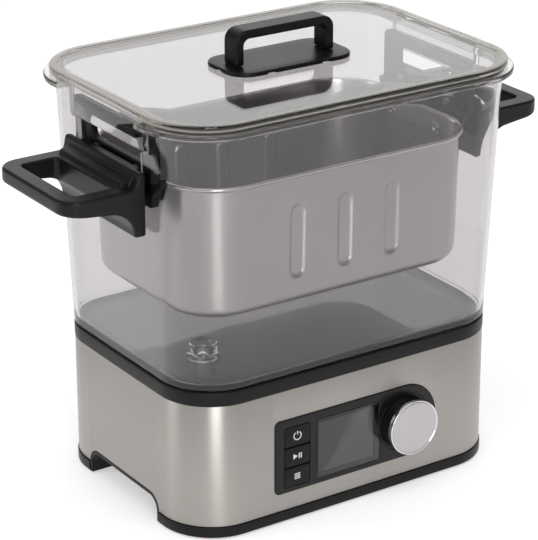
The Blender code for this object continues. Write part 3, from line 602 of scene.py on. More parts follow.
@dataclass(frozen=True)
class BrushedSteel(Finish):
    """Stainless sheet brushed along its length: long fine lines stretch highlights upright."""

    name: str
    colour: str
    roughness: float = 0.38
    grain: tuple[float, float, float] = (60.0, 60.0, 0.8)
    depth: float = 0.006
    tint: float = 0.035
    stretch: float = 0.85

    def shade(self, tree: bpy.types.NodeTree) -> bpy.types.NodeSocket:
        """Streaks vary tone and roughness a little and give a fine bump."""
        lines = add(tree, "ShaderNodeTexNoise", {"Vector": self.places(tree, self.grain),
                                                 "Scale": 1.0, "Detail": 4.0, "Roughness": 0.65})
        cloud = add(tree, "ShaderNodeTexNoise", {"Vector": self.places(tree, (70, 70, 70)),
                                                 "Scale": 1.0, "Detail": 2.0})
        streak = lines.outputs["Fac"]
        dark, light = toned(self.colour, self.tint)
        tone = add(tree, "ShaderNodeMix", {0: streak, 6: dark, 7: light}, data_type="RGBA")
        worn = add(tree, "ShaderNodeMapRange", {"Value": cloud.outputs["Fac"],
                                                "To Min": self.roughness - 0.03,
                                                "To Max": self.roughness + 0.03})
        fine = add(tree, "ShaderNodeMapRange", {"Value": streak, "To Min": -0.04, "To Max": 0.04})
        rough = add(tree, "ShaderNodeMath", {0: worn.outputs[0], 1: fine.outputs[0]})
        bump = add(tree, "ShaderNodeBump", {"Height": streak, "Strength": 0.25,
                                            "Distance": self.depth * MM})
        round_about = add(tree, "ShaderNodeTangent", {}, direction_type="RADIAL", axis="Z")
        return add(tree, "ShaderNodeBsdfPrincipled", {
            "Base Color": tone.outputs[2], "Roughness": rough.outputs[0], "Metallic": 1.0,
            "Anisotropic": self.stretch, "Anisotropic Rotation": 0.25,
            "Tangent": round_about.outputs[0], "Normal": bump.outputs[0]}).outputs[0]


@dataclass(frozen=True)
class MouldedPlastic(Finish):
    """Injection-moulded plastic: even colour, fine spark-eroded grain, soft sheen."""

    name: str
    colour: str
    roughness: float = 0.42
    grain: float = 0.7
    depth: float = 0.03
    specular: float = 0.5

    def shade(self, tree: bpy.types.NodeTree) -> bpy.types.NodeSocket:
        """Cellular grain in the bump, slow handling marks in the roughness and the tone."""
        cells = add(tree, "ShaderNodeTexVoronoi", {
            "Vector": self.places(tree, (self.grain,) * 3), "Scale": 1.0})
        marks = add(tree, "ShaderNodeTexNoise", {"Vector": self.places(tree, (24, 24, 24)),
                                                 "Scale": 1.0, "Detail": 3.0})
        dark, light = toned(self.colour, 0.08)
        tone = add(tree, "ShaderNodeMix", {0: marks.outputs["Fac"], 6: dark, 7: light},
                   data_type="RGBA")
        rough = add(tree, "ShaderNodeMapRange", {
            "Value": marks.outputs["Fac"], "To Min": self.roughness - 0.04,
            "To Max": self.roughness + 0.04})
        bump = add(tree, "ShaderNodeBump", {"Height": cells.outputs["Distance"],
                                            "Strength": 0.2, "Distance": self.depth * MM})
        return add(tree, "ShaderNodeBsdfPrincipled", {
            "Base Color": tone.outputs[2], "Roughness": rough.outputs[0],
            "Specular IOR Level": self.specular, "Normal": bump.outputs[0]}).outputs[0]


@dataclass(frozen=True)
class ClearPlastic(Finish):
    """Clear copolyester, polished in the mould: sharp reflections and a faint grey tint."""

    name: str
    colour: str
    soak: float = 0.0   # share of light lost in each millimetre, about
    ior: float = 1.54

    def shade(self, tree: bpy.types.NodeTree) -> bpy.types.NodeSocket:
        """A refracting shader that lets lamps through; a faint flow pattern varies its gloss."""
        flow = add(tree, "ShaderNodeTexNoise", {"Vector": self.places(tree, (90, 90, 40)),
                                                "Scale": 1.0, "Detail": 1.0})
        rough = add(tree, "ShaderNodeMapRange", {"Value": flow.outputs["Fac"], "To Min": 0.0,
                                                 "To Max": 0.02})
        body = add(tree, "ShaderNodeBsdfPrincipled", {
            "Base Color": linear(self.colour), "Roughness": rough.outputs[0],
            "IOR": self.ior, "Transmission Weight": 1.0})
        through = add(tree, "ShaderNodeBsdfTransparent", {"Color": linear(self.colour)})
        rays = add(tree, "ShaderNodeLightPath", {})
        return add(tree, "ShaderNodeMixShader", {
            0: rays.outputs["Is Shadow Ray"], 1: body.outputs[0],
            2: through.outputs[0]}).outputs[0]

    def fill(self, tree: bpy.types.NodeTree, out: bpy.types.Node) -> None:
        """Light fades along its way through the plastic, so long paths at corners darken."""
        if self.soak:
            fade = add(tree, "ShaderNodeVolumeAbsorption", {"Color": linear("#8f8a8b"),
                                                            "Density": self.soak / MM})
            tree.links.new(fade.outputs[0], out.inputs["Volume"])


@dataclass(frozen=True)
class Frosted(Finish):
    """Clear plastic left matt by a cutter or by texture in the mould: it glows both ways."""

    name: str
    colour: str

    def shade(self, tree: bpy.types.NodeTree) -> bpy.types.NodeSocket:
        """Half of the light is sent back and half let through, in slightly uneven shares."""
        cloud = add(tree, "ShaderNodeTexNoise", {"Vector": self.places(tree, (6, 6, 6)),
                                                 "Scale": 1.0, "Detail": 2.0})
        share = add(tree, "ShaderNodeMapRange", {"Value": cloud.outputs["Fac"],
                                                 "To Min": 0.42, "To Max": 0.58})
        back = add(tree, "ShaderNodeBsdfDiffuse", {"Color": linear(self.colour)})
        through = add(tree, "ShaderNodeBsdfTranslucent", {"Color": linear(self.colour)})
        return add(tree, "ShaderNodeMixShader", {
            0: share.outputs[0], 1: back.outputs[0], 2: through.outputs[0]}).outputs[0]


@dataclass(frozen=True)
class Gloss(Finish):
    """Smooth painted, printed or polished surface with a slight orange-peel in its gloss."""

    name: str
    colour: str
    roughness: float = 0.12
    metallic: float = 0.0
    peel: float = 6.0
    depth: float = 0.01

    def shade(self, tree: bpy.types.NodeTree) -> bpy.types.NodeSocket:
        """Soft waves of a few millimetres in the bump and the roughness."""
        waves = add(tree, "ShaderNodeTexNoise", {
            "Vector": self.places(tree, (self.peel,) * 3), "Scale": 1.0, "Detail": 2.0})
        rough = add(tree, "ShaderNodeMapRange", {
            "Value": waves.outputs["Fac"], "To Min": self.roughness * 0.85,
            "To Max": self.roughness * 1.15})
        bump = add(tree, "ShaderNodeBump", {"Height": waves.outputs["Fac"], "Strength": 0.15,
                                            "Distance": self.depth * MM})
        return add(tree, "ShaderNodeBsdfPrincipled", {
            "Base Color": linear(self.colour), "Roughness": rough.outputs[0],
            "Metallic": self.metallic, "Normal": bump.outputs[0]}).outputs[0]


# Steels: long streaks on the sleeve, short faint ones on the drawn pan, none on the knob.
SHEET_STEEL = BrushedSteel("brushed_sheet_steel", "#aeaaa5")
PAN_STEEL = BrushedSteel("drawn_pan_steel", "#b9b6b6", 0.31, (80.0, 80.0, 1.0), 0.003, 0.015, 0.8)
KNOB_FACE = BrushedSteel("satin_knob_face", "#bcb8bb", 0.36, (14.0, 14.0, 14.0), 0.004, 0.02, 0.0)
# Polished, plated or coated metal: clear highlights that soften as the roughness rises.
# The rim band is a lighter copy of the pan steel: partly a smoother polished rim, partly a painted
# highlight that stands for the bright line along the rolled rim.
RIM_STEEL_AND_HIGHLIGHT = Gloss("polished_rim_and_painted_highlight", "#dedbda", 0.16, 1.0)
CUP_STEEL = Gloss("pressed_rivet_steel", "#c2c0be", 0.2, 1.0)
KNOB_EDGE = Gloss("chromed_knob_edge", "#dcdcdf", 0.06, 1.0)
ZINC = Gloss("zinc_plated_steel", "#a8a8a4", 0.3, 1.0)
LASER_MARK = Gloss("laser_marked_steel", "#757172", 0.36, 0.8)
# The heating plate's near-black tone is partly its own dark finish and partly painted shade: it is
# darkened to stand for the shade under the pan.
PLATE_STEEL_AND_PAINTED_SHADE = Gloss("heating_plate_and_painted_shade", "#1d1c1c", 0.3, 0.2)
SHEATH = Gloss("oxidised_heater_sheath", "#6e6a66", 0.5, 0.9)
# Black plastics: deep tone with a soft sheen, finer and glossier on the panel and its keys.
BLACK_ABS = MouldedPlastic("black_moulded_abs", "#0f0d0e", 0.40, 0.7, 0.02, 0.22)
GRIP_NYLON = MouldedPlastic("black_grip_nylon", "#0f0d0e", 0.36, 0.6, 0.03, 0.24)
PANEL_ABS = MouldedPlastic("dark_panel_abs", "#120f10", 0.32, 0.5, 0.015, 0.3)
KEY_ABS = MouldedPlastic("dark_key_abs", "#0c0a0b", 0.38, 0.5, 0.015, 0.2)
RUBBER = MouldedPlastic("black_silicone_rubber", "#161515", 0.62, 0.9, 0.02, 0.3)
SEAL_GREY = MouldedPlastic("grey_silicone_seal", "#a19e94", 0.5, 0.9, 0.01, 0.3)
# Clear plastics: the tank darkens along long paths, the thin lid and the window are tinted.
CLEAR = ClearPlastic("clear_copolyester", "#efeded", 0.056)
CLEAR_PIPE = ClearPlastic("clear_copolyester_pipe", "#f8f8f8")
CLEAR_LID = ClearPlastic("clear_copolyester_lid", "#dbd9d9")
SMOKED = ClearPlastic("smoked_display_window", "#b5b2b2")
CUT_EDGE = Frosted("matt_copolyester_edge", "#e2e1dd")
SEAL_SEAT = Frosted("frosted_seal_seat", "#cfccc0")
# Display, print and boards: even tone and hardly any shine.
LCD_GREY = Gloss("unlit_liquid_crystal", "#827e7e", 0.4)
PRINT_WHITE = Gloss("white_pad_print", "#d4d4d4", 0.5)
SOLDER_MASK = Gloss("green_solder_mask", "#1f5a3a", 0.35)


def faces_of(mesh: bpy.types.Mesh) -> tuple[Array, Array]:
    """Middles (millimetres) of a mesh's faces as three rows, and how squarely each faces an axis.

    Args:
        mesh: the mesh to read.

    Returns:
        Rows of x, y and z, and the absolute normals as one row for each face.
    """
    middle, facing = np.zeros(len(mesh.polygons) * 3), np.zeros(len(mesh.polygons) * 3)
    mesh.polygons.foreach_get("center", middle)
    mesh.polygons.foreach_get("normal", facing)
    return middle.reshape(-1, 3).T / MM, np.abs(facing.reshape(-1, 3))


def second_finish(mesh: bpy.types.Mesh, finish: Finish, chosen: Array) -> None:
    """Give the chosen faces of a mesh a second finish."""
    mesh.materials.append(finish.material())
    mesh.polygons.foreach_set("material_index", chosen.astype(np.int32))


@dataclass
class Assembly:
    """Base class of a sub-assembly: keeps its body and its finished pieces."""

    body: str
    pieces: list = field(default_factory=list)

    def dress(self, obj: bpy.types.Object, finish: Finish, slot: str,
              *nodes: str, body: str | None = None) -> bpy.types.Object:
        """Give a new piece its finish and its body, and hide the imported nodes that it stands
        for.
        """
        obj.data.materials.clear()
        obj.data.materials.append(finish.material())
        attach(obj, body or self.body)
        if nodes:
            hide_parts(*nodes)
        self.pieces.append(obj.name)
        return obj

    def add(self, name: str, surface: Surface, finish: Finish, slot: str, *nodes: str,
            body: str | None = None, sharp: float = SHARP) -> bpy.types.Object:
        """Make a piece from a surface and dress it."""
        return self.dress(build_mesh(name, surface, sharp), finish, slot, *nodes, body=body)

    def keep(self, node: str, finish: Finish) -> None:
        """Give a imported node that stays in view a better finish."""
        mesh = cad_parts[node].data
        mesh.materials.clear()
        mesh.materials.append(finish.material())
        self.pieces.append(node)

    def report(self) -> None:
        """Log each piece."""
        for name in self.pieces:
            LOG.info("%s: %s", type(self).__name__, name)


# ======================================================================================
# base
# ======================================================================================
@dataclass
class BaseShell(Assembly):
    """Steel sleeve, skirt with hand notches, collar, heating plate, feet and inner parts."""

    body: str = "base"
    corner: float = 38.9
    bow: float = 0.7
    sheet: float = 1.4
    skirt_wall: float = 3.3
    floor: tuple[float, float] = (3.4, 6.0)
    notch: tuple[float, float, float] = (44.0, 17.2, 9.0)
    lip: float = 3.2
    notch_depth: float = 30.0

    def build(self) -> None:
        """Build every piece of the base."""
        sleeve, skirt, collar = (Box.of(n) for n in ("base_housing", "base_skirt", "top_collar"))
        self.outline = Outline(sleeve.half[0], sleeve.half[1], self.corner, self.bow)
        self.build_sleeve(sleeve)
        self.build_skirt(skirt)
        self.build_linings(skirt)
        self.build_collar(collar)
        self.build_plates()
        self.build_feet()
        self.build_gland()
        self.dress_inner_parts()

    def grown(self, box: Box) -> Outline:
        """The sleeve's outline grown to the size of another ring round it."""
        out = box.half[0] - self.outline.half_x
        return Outline(box.half[0], box.half[1], self.corner + out, self.bow)

    def notch_line(self, grow: float) -> Array:
        """Closed outline of a hand notch in Y and Z, open past the underside."""
        half, top, radius = self.notch
        return fillet([(-half - grow, -20, 0.01), (half + grow, -20, 0.01),
                       (half + grow, top + grow, radius + grow),
                       (-half - grow, top + grow, radius + grow)], 8, closed=True)

    def build_sleeve(self, box: Box) -> None:
        """Brushed sheet bent round the base, cut for the notches and the control panel."""
        z0, z1, t = box.lo[2], box.hi[2], self.sheet
        rows = fillet([(0, z0, 0.3), (0, z1, 0.3), (-t, z1, 0.3), (-t, z0, 0.3)], 2, closed=True)
        obj = build_mesh("sleeve", swept(rows, self.outline, True, (40, 26), 24))
        notches = prism(self.notch_line(self.lip + 0.2), Axis.X, -160, 160)
        opening = prism(ControlPanel.outline(0.15), Axis.Y, box.lo[1] - 9, box.lo[1] + 12)
        hole = Box.of("cord_gland")
        cord = turned([(8, box.hi[1] - 9), (8, box.hi[1] + 9)], (hole.mid[0], 0, hole.mid[2]),
                      Axis.Y)
        carve(obj, [notches, opening, cord])
        self.dress(obj, SHEET_STEEL, "brushed_steel", "base_housing")

    def build_skirt(self, box: Box) -> None:
        """Black rim under the sleeve, and the slotted floor inside it."""
        wall = self.skirt_wall
        outline = self.grown(box)
        z0 = box.lo[2]
        top = Box.of("base_housing").lo[2] - 0.3
        rows = fillet([(0, z0, 1.3), (0, top, 0.5), (-wall, top, 0.3), (-wall, z0, 0.4)],
                      4, closed=True)
        ring = build_mesh("skirt_rim", swept(rows, outline, True, (30, 20), 20))
        notches = prism(self.notch_line(self.lip), Axis.X, -160, 160)
        carve(ring, [notches])
        self.dress(ring, BLACK_ABS, "black_plastic", "base_skirt")
        (low, high), rim = self.floor, -wall - 0.1
        rows = fillet([(-24, low, 0), (rim, low, 0.4), (rim, high, 0.4), (-24, high, 0)], 2)
        floor = build_mesh("base_floor", swept(rows, outline, False, (12, 8), 12))
        slots = [prism(window(x - 2, x + 2, -24, 24, 1.9), Axis.Z, low - 3, high + 3)
                 for x in 16.0 * (np.arange(6) - 2.5)]
        end = prism(self.notch_line(self.lip), Axis.X, box.hi[0] - self.notch_depth - 2.5, 160)
        carve(floor, slots + [end, end.mirrored()])
        self.dress(floor, BLACK_ABS, "black_plastic")

    def build_linings(self, box: Box) -> None:
        """Arched lining of each hand notch, with the wall at its back."""
        half, top, radius = self.notch
        outer, deep = box.hi[0], self.notch_depth
        path = fillet([(-half, box.lo[2] + 0.3, 0), (-half, top, radius), (half, top, radius),
                       (half, box.lo[2] + 0.3, 0)], 10)
        along = np.gradient(path, axis=0)
        normal = np.stack([-along[:, 1], along[:, 0]], -1)
        normal /= np.linalg.norm(normal, axis=1, keepdims=True)
        section = fillet([(outer, 0, 0.9), (outer, self.lip, 0.5), (outer - deep, self.lip, 0.2),
                          (outer - deep, 0, 0.2)], 4, closed=True)
        flat = path[:, None] + section[None, :, 1:] * normal[:, None]
        loops = np.concatenate([np.broadcast_to(section[None, :, :1], flat.shape[:2] + (1,)),
                                flat], -1)
        arch = skin(loops)
        low = self.floor[0]
        back = prism(fillet([(-half - 1, low, 0.5), (half + 1, low, 0.5),
                             (half + 1, top + 1, radius), (-half - 1, top + 1, radius)], 6,
                            closed=True), Axis.X, outer - deep - 2.4, outer - deep - 0.02)
        for side, surface in (("right", arch), ("left", arch.mirrored())):
            self.add(f"notch_lining_{side}", surface, BLACK_ABS, "black_plastic")
        for side, surface in (("right", back), ("left", back.mirrored())):
            self.add(f"notch_back_{side}", surface, BLACK_ABS, "black_plastic")

    def build_collar(self, box: Box) -> None:
        """Black collar on the sleeve, and the gasket on its ledge."""
        outline = self.grown(box)
        z0, z1, ledge = box.lo[2], box.hi[2], Box.of("tank_gasket").lo[2] - 0.3
        rows = fillet([(0, z0, 0.4), (0, z1, 1.2), (-4, z1, 0.5), (-4, ledge, 0.2),
                       (-9, ledge, 0.3), (-9, z0, 0.3)], 5, closed=True)
        self.add("collar", swept(rows, outline, True, (30, 20), 20), BLACK_ABS,
                 "black_plastic", "top_collar")
        seal = Box.of("tank_gasket")
        near = box.half[0] - seal.half[0]
        rows = fillet([(-near, seal.lo[2], 0.4), (-near, seal.hi[2], 0.7),
                       (-near - 1.8, seal.hi[2], 0.4), (-near - 2.2, seal.hi[2] - 0.7, 0.3),
                       (-near - 2.6, seal.hi[2], 0.4), (-near - 4.4, seal.hi[2], 0.7),
                       (-near - 4.4, seal.lo[2], 0.4)], 3, closed=True)
        self.add("gasket_ring", swept(rows, outline, True, (24, 16), 16), RUBBER,
                 "black_rubber", "tank_gasket")

    def build_plates(self) -> None:
        """Deck and heating plate under the tank."""
        for node, name, edge, finish, slot in (
                ("base_deck", "deck_plate", 0.4, BLACK_ABS, "black_plastic"),
                # The heating plate's dark tone is partly painted shade under the pan.
                ("heating_plate", "heater_face", 0.9, PLATE_STEEL_AND_PAINTED_SHADE, "coated_plate")):
            box = Box.of(node)
            radius = self.corner + box.half[0] - self.outline.half_x
            outline = Outline(box.half[0], box.half[1], radius)
            rows = fillet([(-20, box.lo[2], 0), (0, box.lo[2], 0.3), (0, box.hi[2], edge),
                           (-20, box.hi[2], 0)], 4)
            self.add(name, swept(rows, outline), finish, slot, node)

    def build_feet(self) -> None:
        """Rubber feet with a grip groove, and cross-head screws beside them."""
        for end in ("front_left", "front_right", "rear_left", "rear_right"):
            box = Box.of("foot_" + end)
            r, top = box.half[0], box.hi[2]
            rows = fillet([(0.3, 0.5, 0), (r - 4.5, 0.5, 0.3), (r - 4, 0, 0.3), (r, 0, 0.7),
                           (r, top, 0.2), (0.3, top, 0)], 3)
            self.add("rubber_foot_" + end, turned(rows, (box.mid[0], box.mid[1], 0)), RUBBER,
                     "black_rubber", "foot_" + end)
            screw = Box.of("base_screw_" + end)
            head = fillet([(0.2, -1.5, 0), (2.6, -1.5, 0.5), (3.6, -0.6, 0.4), (3.6, 0, 0.2),
                           (1.9, 0, 0), (1.9, 12.4, 0.4), (0.2, 13, 0)], 3)
            at = (screw.mid[0], screw.mid[1], top)
            obj = build_mesh("floor_screw_" + end, turned(head, at, count=32))
            z = (top - 2, top - 0.7)
            cross = [prism(window(at[0] - a, at[0] + a, at[1] - b, at[1] + b, 0.1), Axis.Z, *z)
                     for a, b in ((1.9, 0.35), (0.35, 1.9))]
            carve(obj, cross)
            self.dress(obj, ZINC, "zinc_screw", "base_screw_" + end)

    def build_gland(self) -> None:
        """Cable gland in the rear wall: flange, ribbed nut and bore."""
        box = Box.of("cord_gland")
        wall = Box.of("base_housing").hi[1]
        at = (box.mid[0], wall, box.mid[2])
        out = box.hi[1] - wall
        rows = fillet([(3.6, -7, 0.3), (7.7, -7, 0.4), (7.7, 0.4, 0.1), (11, 0.4, 0.2),
                       (11, 2.4, 0.8), (8.6, 2.4, 0.5), (8.6, out - 2, 1.2), (6.4, out, 0.8),
                       (3.6, out, 0.6)], 4, closed=True)
        obj = build_mesh("gland", turned(rows, at, Axis.Y, True))
        angle = 2 * math.pi * np.arange(12) / 12
        ribs = [turned([(0.7, 3.6), (0.7, out - 3.4)],
                       (at[0] + 9.0 * math.cos(a), at[1], at[2] + 9.0 * math.sin(a)), Axis.Y,
                       count=10) for a in angle]
        carve(obj, ribs)
        self.dress(obj, BLACK_ABS, "black_plastic", "cord_gland")

    def dress_inner_parts(self) -> None:
        """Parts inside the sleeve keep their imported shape."""
        for node in ("power_board", "control_board"):
            self.keep(node, SOLDER_MASK)
        for node in ("heating_element", "temperature_sensor", "thermal_fuse"):
            self.keep(node, SHEATH)
        for node in ("encoder", "switch_power", "switch_start", "switch_menu"):
            self.keep(node, PANEL_ABS)


# ======================================================================================
# control panel
# ======================================================================================
class Icon(Enum):
    """Generic signs printed on the keys."""

    POWER = "button_power"
    START = "button_start"
    MENU = "button_menu"

    def shapes(self) -> list[Array]:
        """Outlines in X and Z round the key's centre, in millimetres."""
        if self is Icon.POWER:
            turn = math.radians(90) + np.linspace(math.radians(32), math.radians(328), 40)
            arc = np.stack([np.cos(turn), np.sin(turn)], -1)
            return [np.concatenate([3.3 * arc, 2.55 * arc[::-1]])[::-1],
                    window(-0.4, 0.4, 0.9, 3.5, 0.2, 2)]
        if self is Icon.START:
            return [np.array([(-3.3, -2.1), (0.3, 0.0), (-3.3, 2.1)]),
                    window(1.0, 1.9, -2.0, 2.0, 0.1, 2), window(2.6, 3.5, -2.0, 2.0, 0.1, 2)]
        return [window(-2.4, 2.4, z - 0.33, z + 0.33, 0.1, 2) for z in (-1.8, -0.6, 0.6, 1.8)]


@dataclass
class ControlPanel(Assembly):
    """Bezel with display window, three keys and a turning knob."""

    body: str = "base"

    @staticmethod
    def outline(grow: float = 0.0) -> Array:
        """Bezel outline in X and Z: small corners on the left, a half circle on the right."""
        box = Box.of("panel_bezel")
        x0, x1 = box.lo[0] - grow, box.hi[0] + grow
        z0, z1 = box.lo[2] - grow, box.hi[2] + grow
        big = (z1 - z0) / 2 - 0.5
        return fillet([(x0, z0, 4 + grow), (x1, z0, big), (x1, z1, big), (x0, z1, 4 + grow)],
                      20, closed=True)

    def build(self) -> None:
        """Build the panel's pieces."""
        self.build_bezel()
        self.build_window()
        for icon in Icon:
            self.build_key(icon)
        self.build_knob()

    def build_bezel(self) -> None:
        """Bezel plate with a key recess, a window recess and a ring round the knob."""
        box = Box.of("panel_bezel")
        face, back = box.lo[1], box.hi[1]
        obj = build_mesh("bezel", prism(self.outline(), Axis.Y, face, back, 0.7))
        lens, module, knob = (Box.of(n) for n in ("display_lens", "display_module", "knob_body"))
        keys = [Box.of(icon.value) for icon in Icon]
        lo = np.min([k.lo for k in keys], 0)
        hi = np.max([k.hi for k in keys], 0)
        deep = face - 3
        tools = [prism(window(lens.lo[0] - 0.3, lens.hi[0] + 0.3, lens.lo[2] - 0.3,
                              lens.hi[2] + 0.3, 1.7), Axis.Y, deep, lens.hi[1] + 0.2),
                 prism(window(module.lo[0] - 0.5, module.hi[0] + 0.5, module.lo[2] - 0.5,
                              module.hi[2] + 0.5, 0.8), Axis.Y, deep, back + 2),
                 prism(window(lo[0] - 0.35, hi[0] + 0.35, lo[2] - 0.35, hi[2] + 0.35, 1.8),
                       Axis.Y, deep, face + 3),
                 turned([(3.6, face - 3), (3.6, back + 2)], (knob.mid[0], 0, knob.mid[2]), Axis.Y)]
        ring = turned(fillet([(knob.half[0] + 0.5, -3, 0.01), (knob.half[0] + 2.4, -3, 0.01),
                              (knob.half[0] + 1.9, 0.7, 0.3), (knob.half[0] + 0.5, 0.7, 0.3)],
                             3, closed=True), (knob.mid[0], face, knob.mid[2]), Axis.Y, True, 96)
        carve(obj, tools + [ring])
        self.dress(obj, PANEL_ABS, "black_plastic", "panel_bezel")

    def build_window(self) -> None:
        """Clear window over the grey display."""
        box = Box.of("display_lens")
        pane = prism(window(box.lo[0], box.hi[0], box.lo[2], box.hi[2], 1.5), Axis.Y,
                     box.lo[1], box.hi[1], 0.2, 3)
        self.add("display_window", pane, SMOKED, "gloss_black", "display_lens")
        self.keep("display_module", LCD_GREY)

    def build_key(self, icon: Icon) -> None:
        """One push key with its stem, and the sign printed on it."""
        node = icon.value
        box = Box.of(node)
        x, z = box.mid[0], box.mid[2]
        cap_back = box.lo[1] + 4.5
        key = build_mesh(node.replace("button", "key"), prism(
            window(box.lo[0], box.hi[0], box.lo[2], box.hi[2], 1.5), Axis.Y, box.lo[1],
            cap_back, 0.6, 4))
        carve(key, [turned([(2, cap_back - 1), (2, box.hi[1])], (x, 0, z), Axis.Y, count=24)],
              True)
        self.dress(key, KEY_ABS, "black_plastic", node, body=node)
        marks = [prism(shape + (x, z), Axis.Y, box.lo[1] - 0.06, box.lo[1] + 0.1)
                 for shape in icon.shapes()]
        self.add(node.replace("button", "sign"), marks[0].plus(*marks[1:]), PRINT_WHITE,
                 "knob_metal", body=node)

    def build_knob(self) -> None:
        """Tapered black body with a shaft, and a metal cap with a bright rim."""
        body, cap = Box.of("knob_body"), Box.of("knob_cap")
        at = (body.mid[0], 0, body.mid[2])
        split, panel = body.lo[1], Box.of("panel_bezel").lo[1]
        rows = fillet([(0.2, split, 0), (17.2, split, 0.5), (18.2, split + 1.6, 0.8),
                       (19.2, panel - 1.6, 0.6), (19.7, panel - 0.3, 0.4),
                       (3, panel - 0.3, 0.3), (3, body.hi[1], 0.3), (0.2, body.hi[1], 0)], 4)
        self.add("knob_grip", turned(rows, at, Axis.Y, count=128), BLACK_ABS, "black_plastic",
                 "knob_body", body="knob")
        r, front, back = cap.half[0], cap.lo[1], cap.hi[1]
        rows = fillet([(0.2, back, 0), (r - 0.8, back, 0.3), (r, back - 0.6, 0.4),
                       (r, front + 0.1, 0.5), (r - 0.9, front + 0.1, 0.4),
                       (r - 1.3, front + 0.45, 0.2), (0.2, front + 0.45, 0)], 5)
        self.add("knob_ring", turned(rows, at, Axis.Y, count=128), KNOB_EDGE, "knob_metal",
                 "knob_cap", body="knob")
        rows = fillet([(0.2, front + 0.44, 0), (r - 1.35, front + 0.44, 0.02),
                       (r - 1.35, front, 0.4), (0.2, front, 0)], 4)
        self.add("knob_face", turned(rows, at, Axis.Y, count=128), KNOB_FACE, "knob_metal",
                 body="knob")


# ======================================================================================
# tank
# ======================================================================================
@dataclass
class Tank(Assembly):
    """Clear moulded tank with a flange, stepped end openings and a standpipe."""

    body: str = "tank"
    foot: Outline = Outline(130.2, 92.8, 38.6, 0.5)
    shoulder: Outline = Outline(135.1, 99.0, 40.0, 0.5)
    wall: float = 2.6
    floor: float = 3.1
    gate: tuple[float, float] = (50.0, 268.0)
    slot: tuple[float, float] = (41.0, 247.2)

    def build(self) -> None:
        """Build the tank and its standpipe."""
        box = Box.of("tank")
        z0, z1 = box.lo[2], box.hi[2]
        floor, under = z0 + self.floor, z1 - 3.6
        flange = Outline(box.half[0], box.half[1], 49.5, 0.0)
        w = self.wall
        rows = np.concatenate([
            placed(0, [(-10, z0, 0), (0, z0, 2.4), (0, z0 + 8, 0)]),
            placed(1, [(0, under - 6, 0), (0, under, 1.6), (3, under, 0)]),
            placed(2, [(-3, under, 0), (0, under, 0.8), (0, z1, 1.0), (-3, z1, 0)]),
            placed(1, [(3, z1, 0), (-w, z1, 0.8), (-w, z1 - 5, 0)]),
            placed(0, [(-w, floor + 8, 0), (-w, floor, 3.2), (-10, floor, 0)])])
        loops = swept_loops(rows, [self.foot, self.shoulder, flange], (48, 32), 32)
        obj = build_mesh("tank_shell", skin(loops))
        carve(obj, [self.opening(), self.opening().mirrored()])
        self.dress(obj, CLEAR, "clear_plastic", "tank")
        self.matt_edges(obj.data)
        self.build_standpipe()

    def matt_edges(self, mesh: bpy.types.Mesh) -> None:
        """Give the cut edges of the end openings their matt finish."""
        (x, y, z), normal = faces_of(mesh)
        inside = (np.abs(x) > 122) & (np.abs(y) < self.gate[0] + 0.1) & (z > self.slot[1] - 0.1)
        cut = inside & (normal[:, 0] < 0.3) & (z < Box.of("tank").hi[2] - 0.2)
        second_finish(mesh, CUT_EDGE, cut)

    def opening(self) -> Surface:
        """Stepped opening in one end wall: a wide gate above a narrower slot."""
        (gate_y, gate_z), (slot_y, slot_z) = self.gate, self.slot
        line = fillet([(-gate_y, 320, 0.1), (-gate_y, gate_z, 3), (-slot_y, gate_z, 2),
                       (-slot_y, slot_z, 5), (slot_y, slot_z, 5), (slot_y, gate_z, 2),
                       (gate_y, gate_z, 3), (gate_y, 320, 0.1)], 6, closed=True)
        return prism(line, Axis.X, 122, 165)

    def build_standpipe(self) -> None:
        """Clear standpipe over the sensor, with a foot and a rounded mouth."""
        box = Box.of("tank_standpipe")
        height = box.hi[2] - box.lo[2]
        rows = fillet([(12, 0, 0.3), (12, 1.6, 0.8), (9.8, 2.4, 1.2), (9.5, height, 1.4),
                       (4.4, height, 1.2), (4.4, 0, 0.3)], 6, closed=True)
        self.add("standpipe", turned(rows, (box.mid[0], box.mid[1], box.lo[2]), wrap=True),
                 CLEAR_PIPE, "clear_plastic", "tank_standpipe")


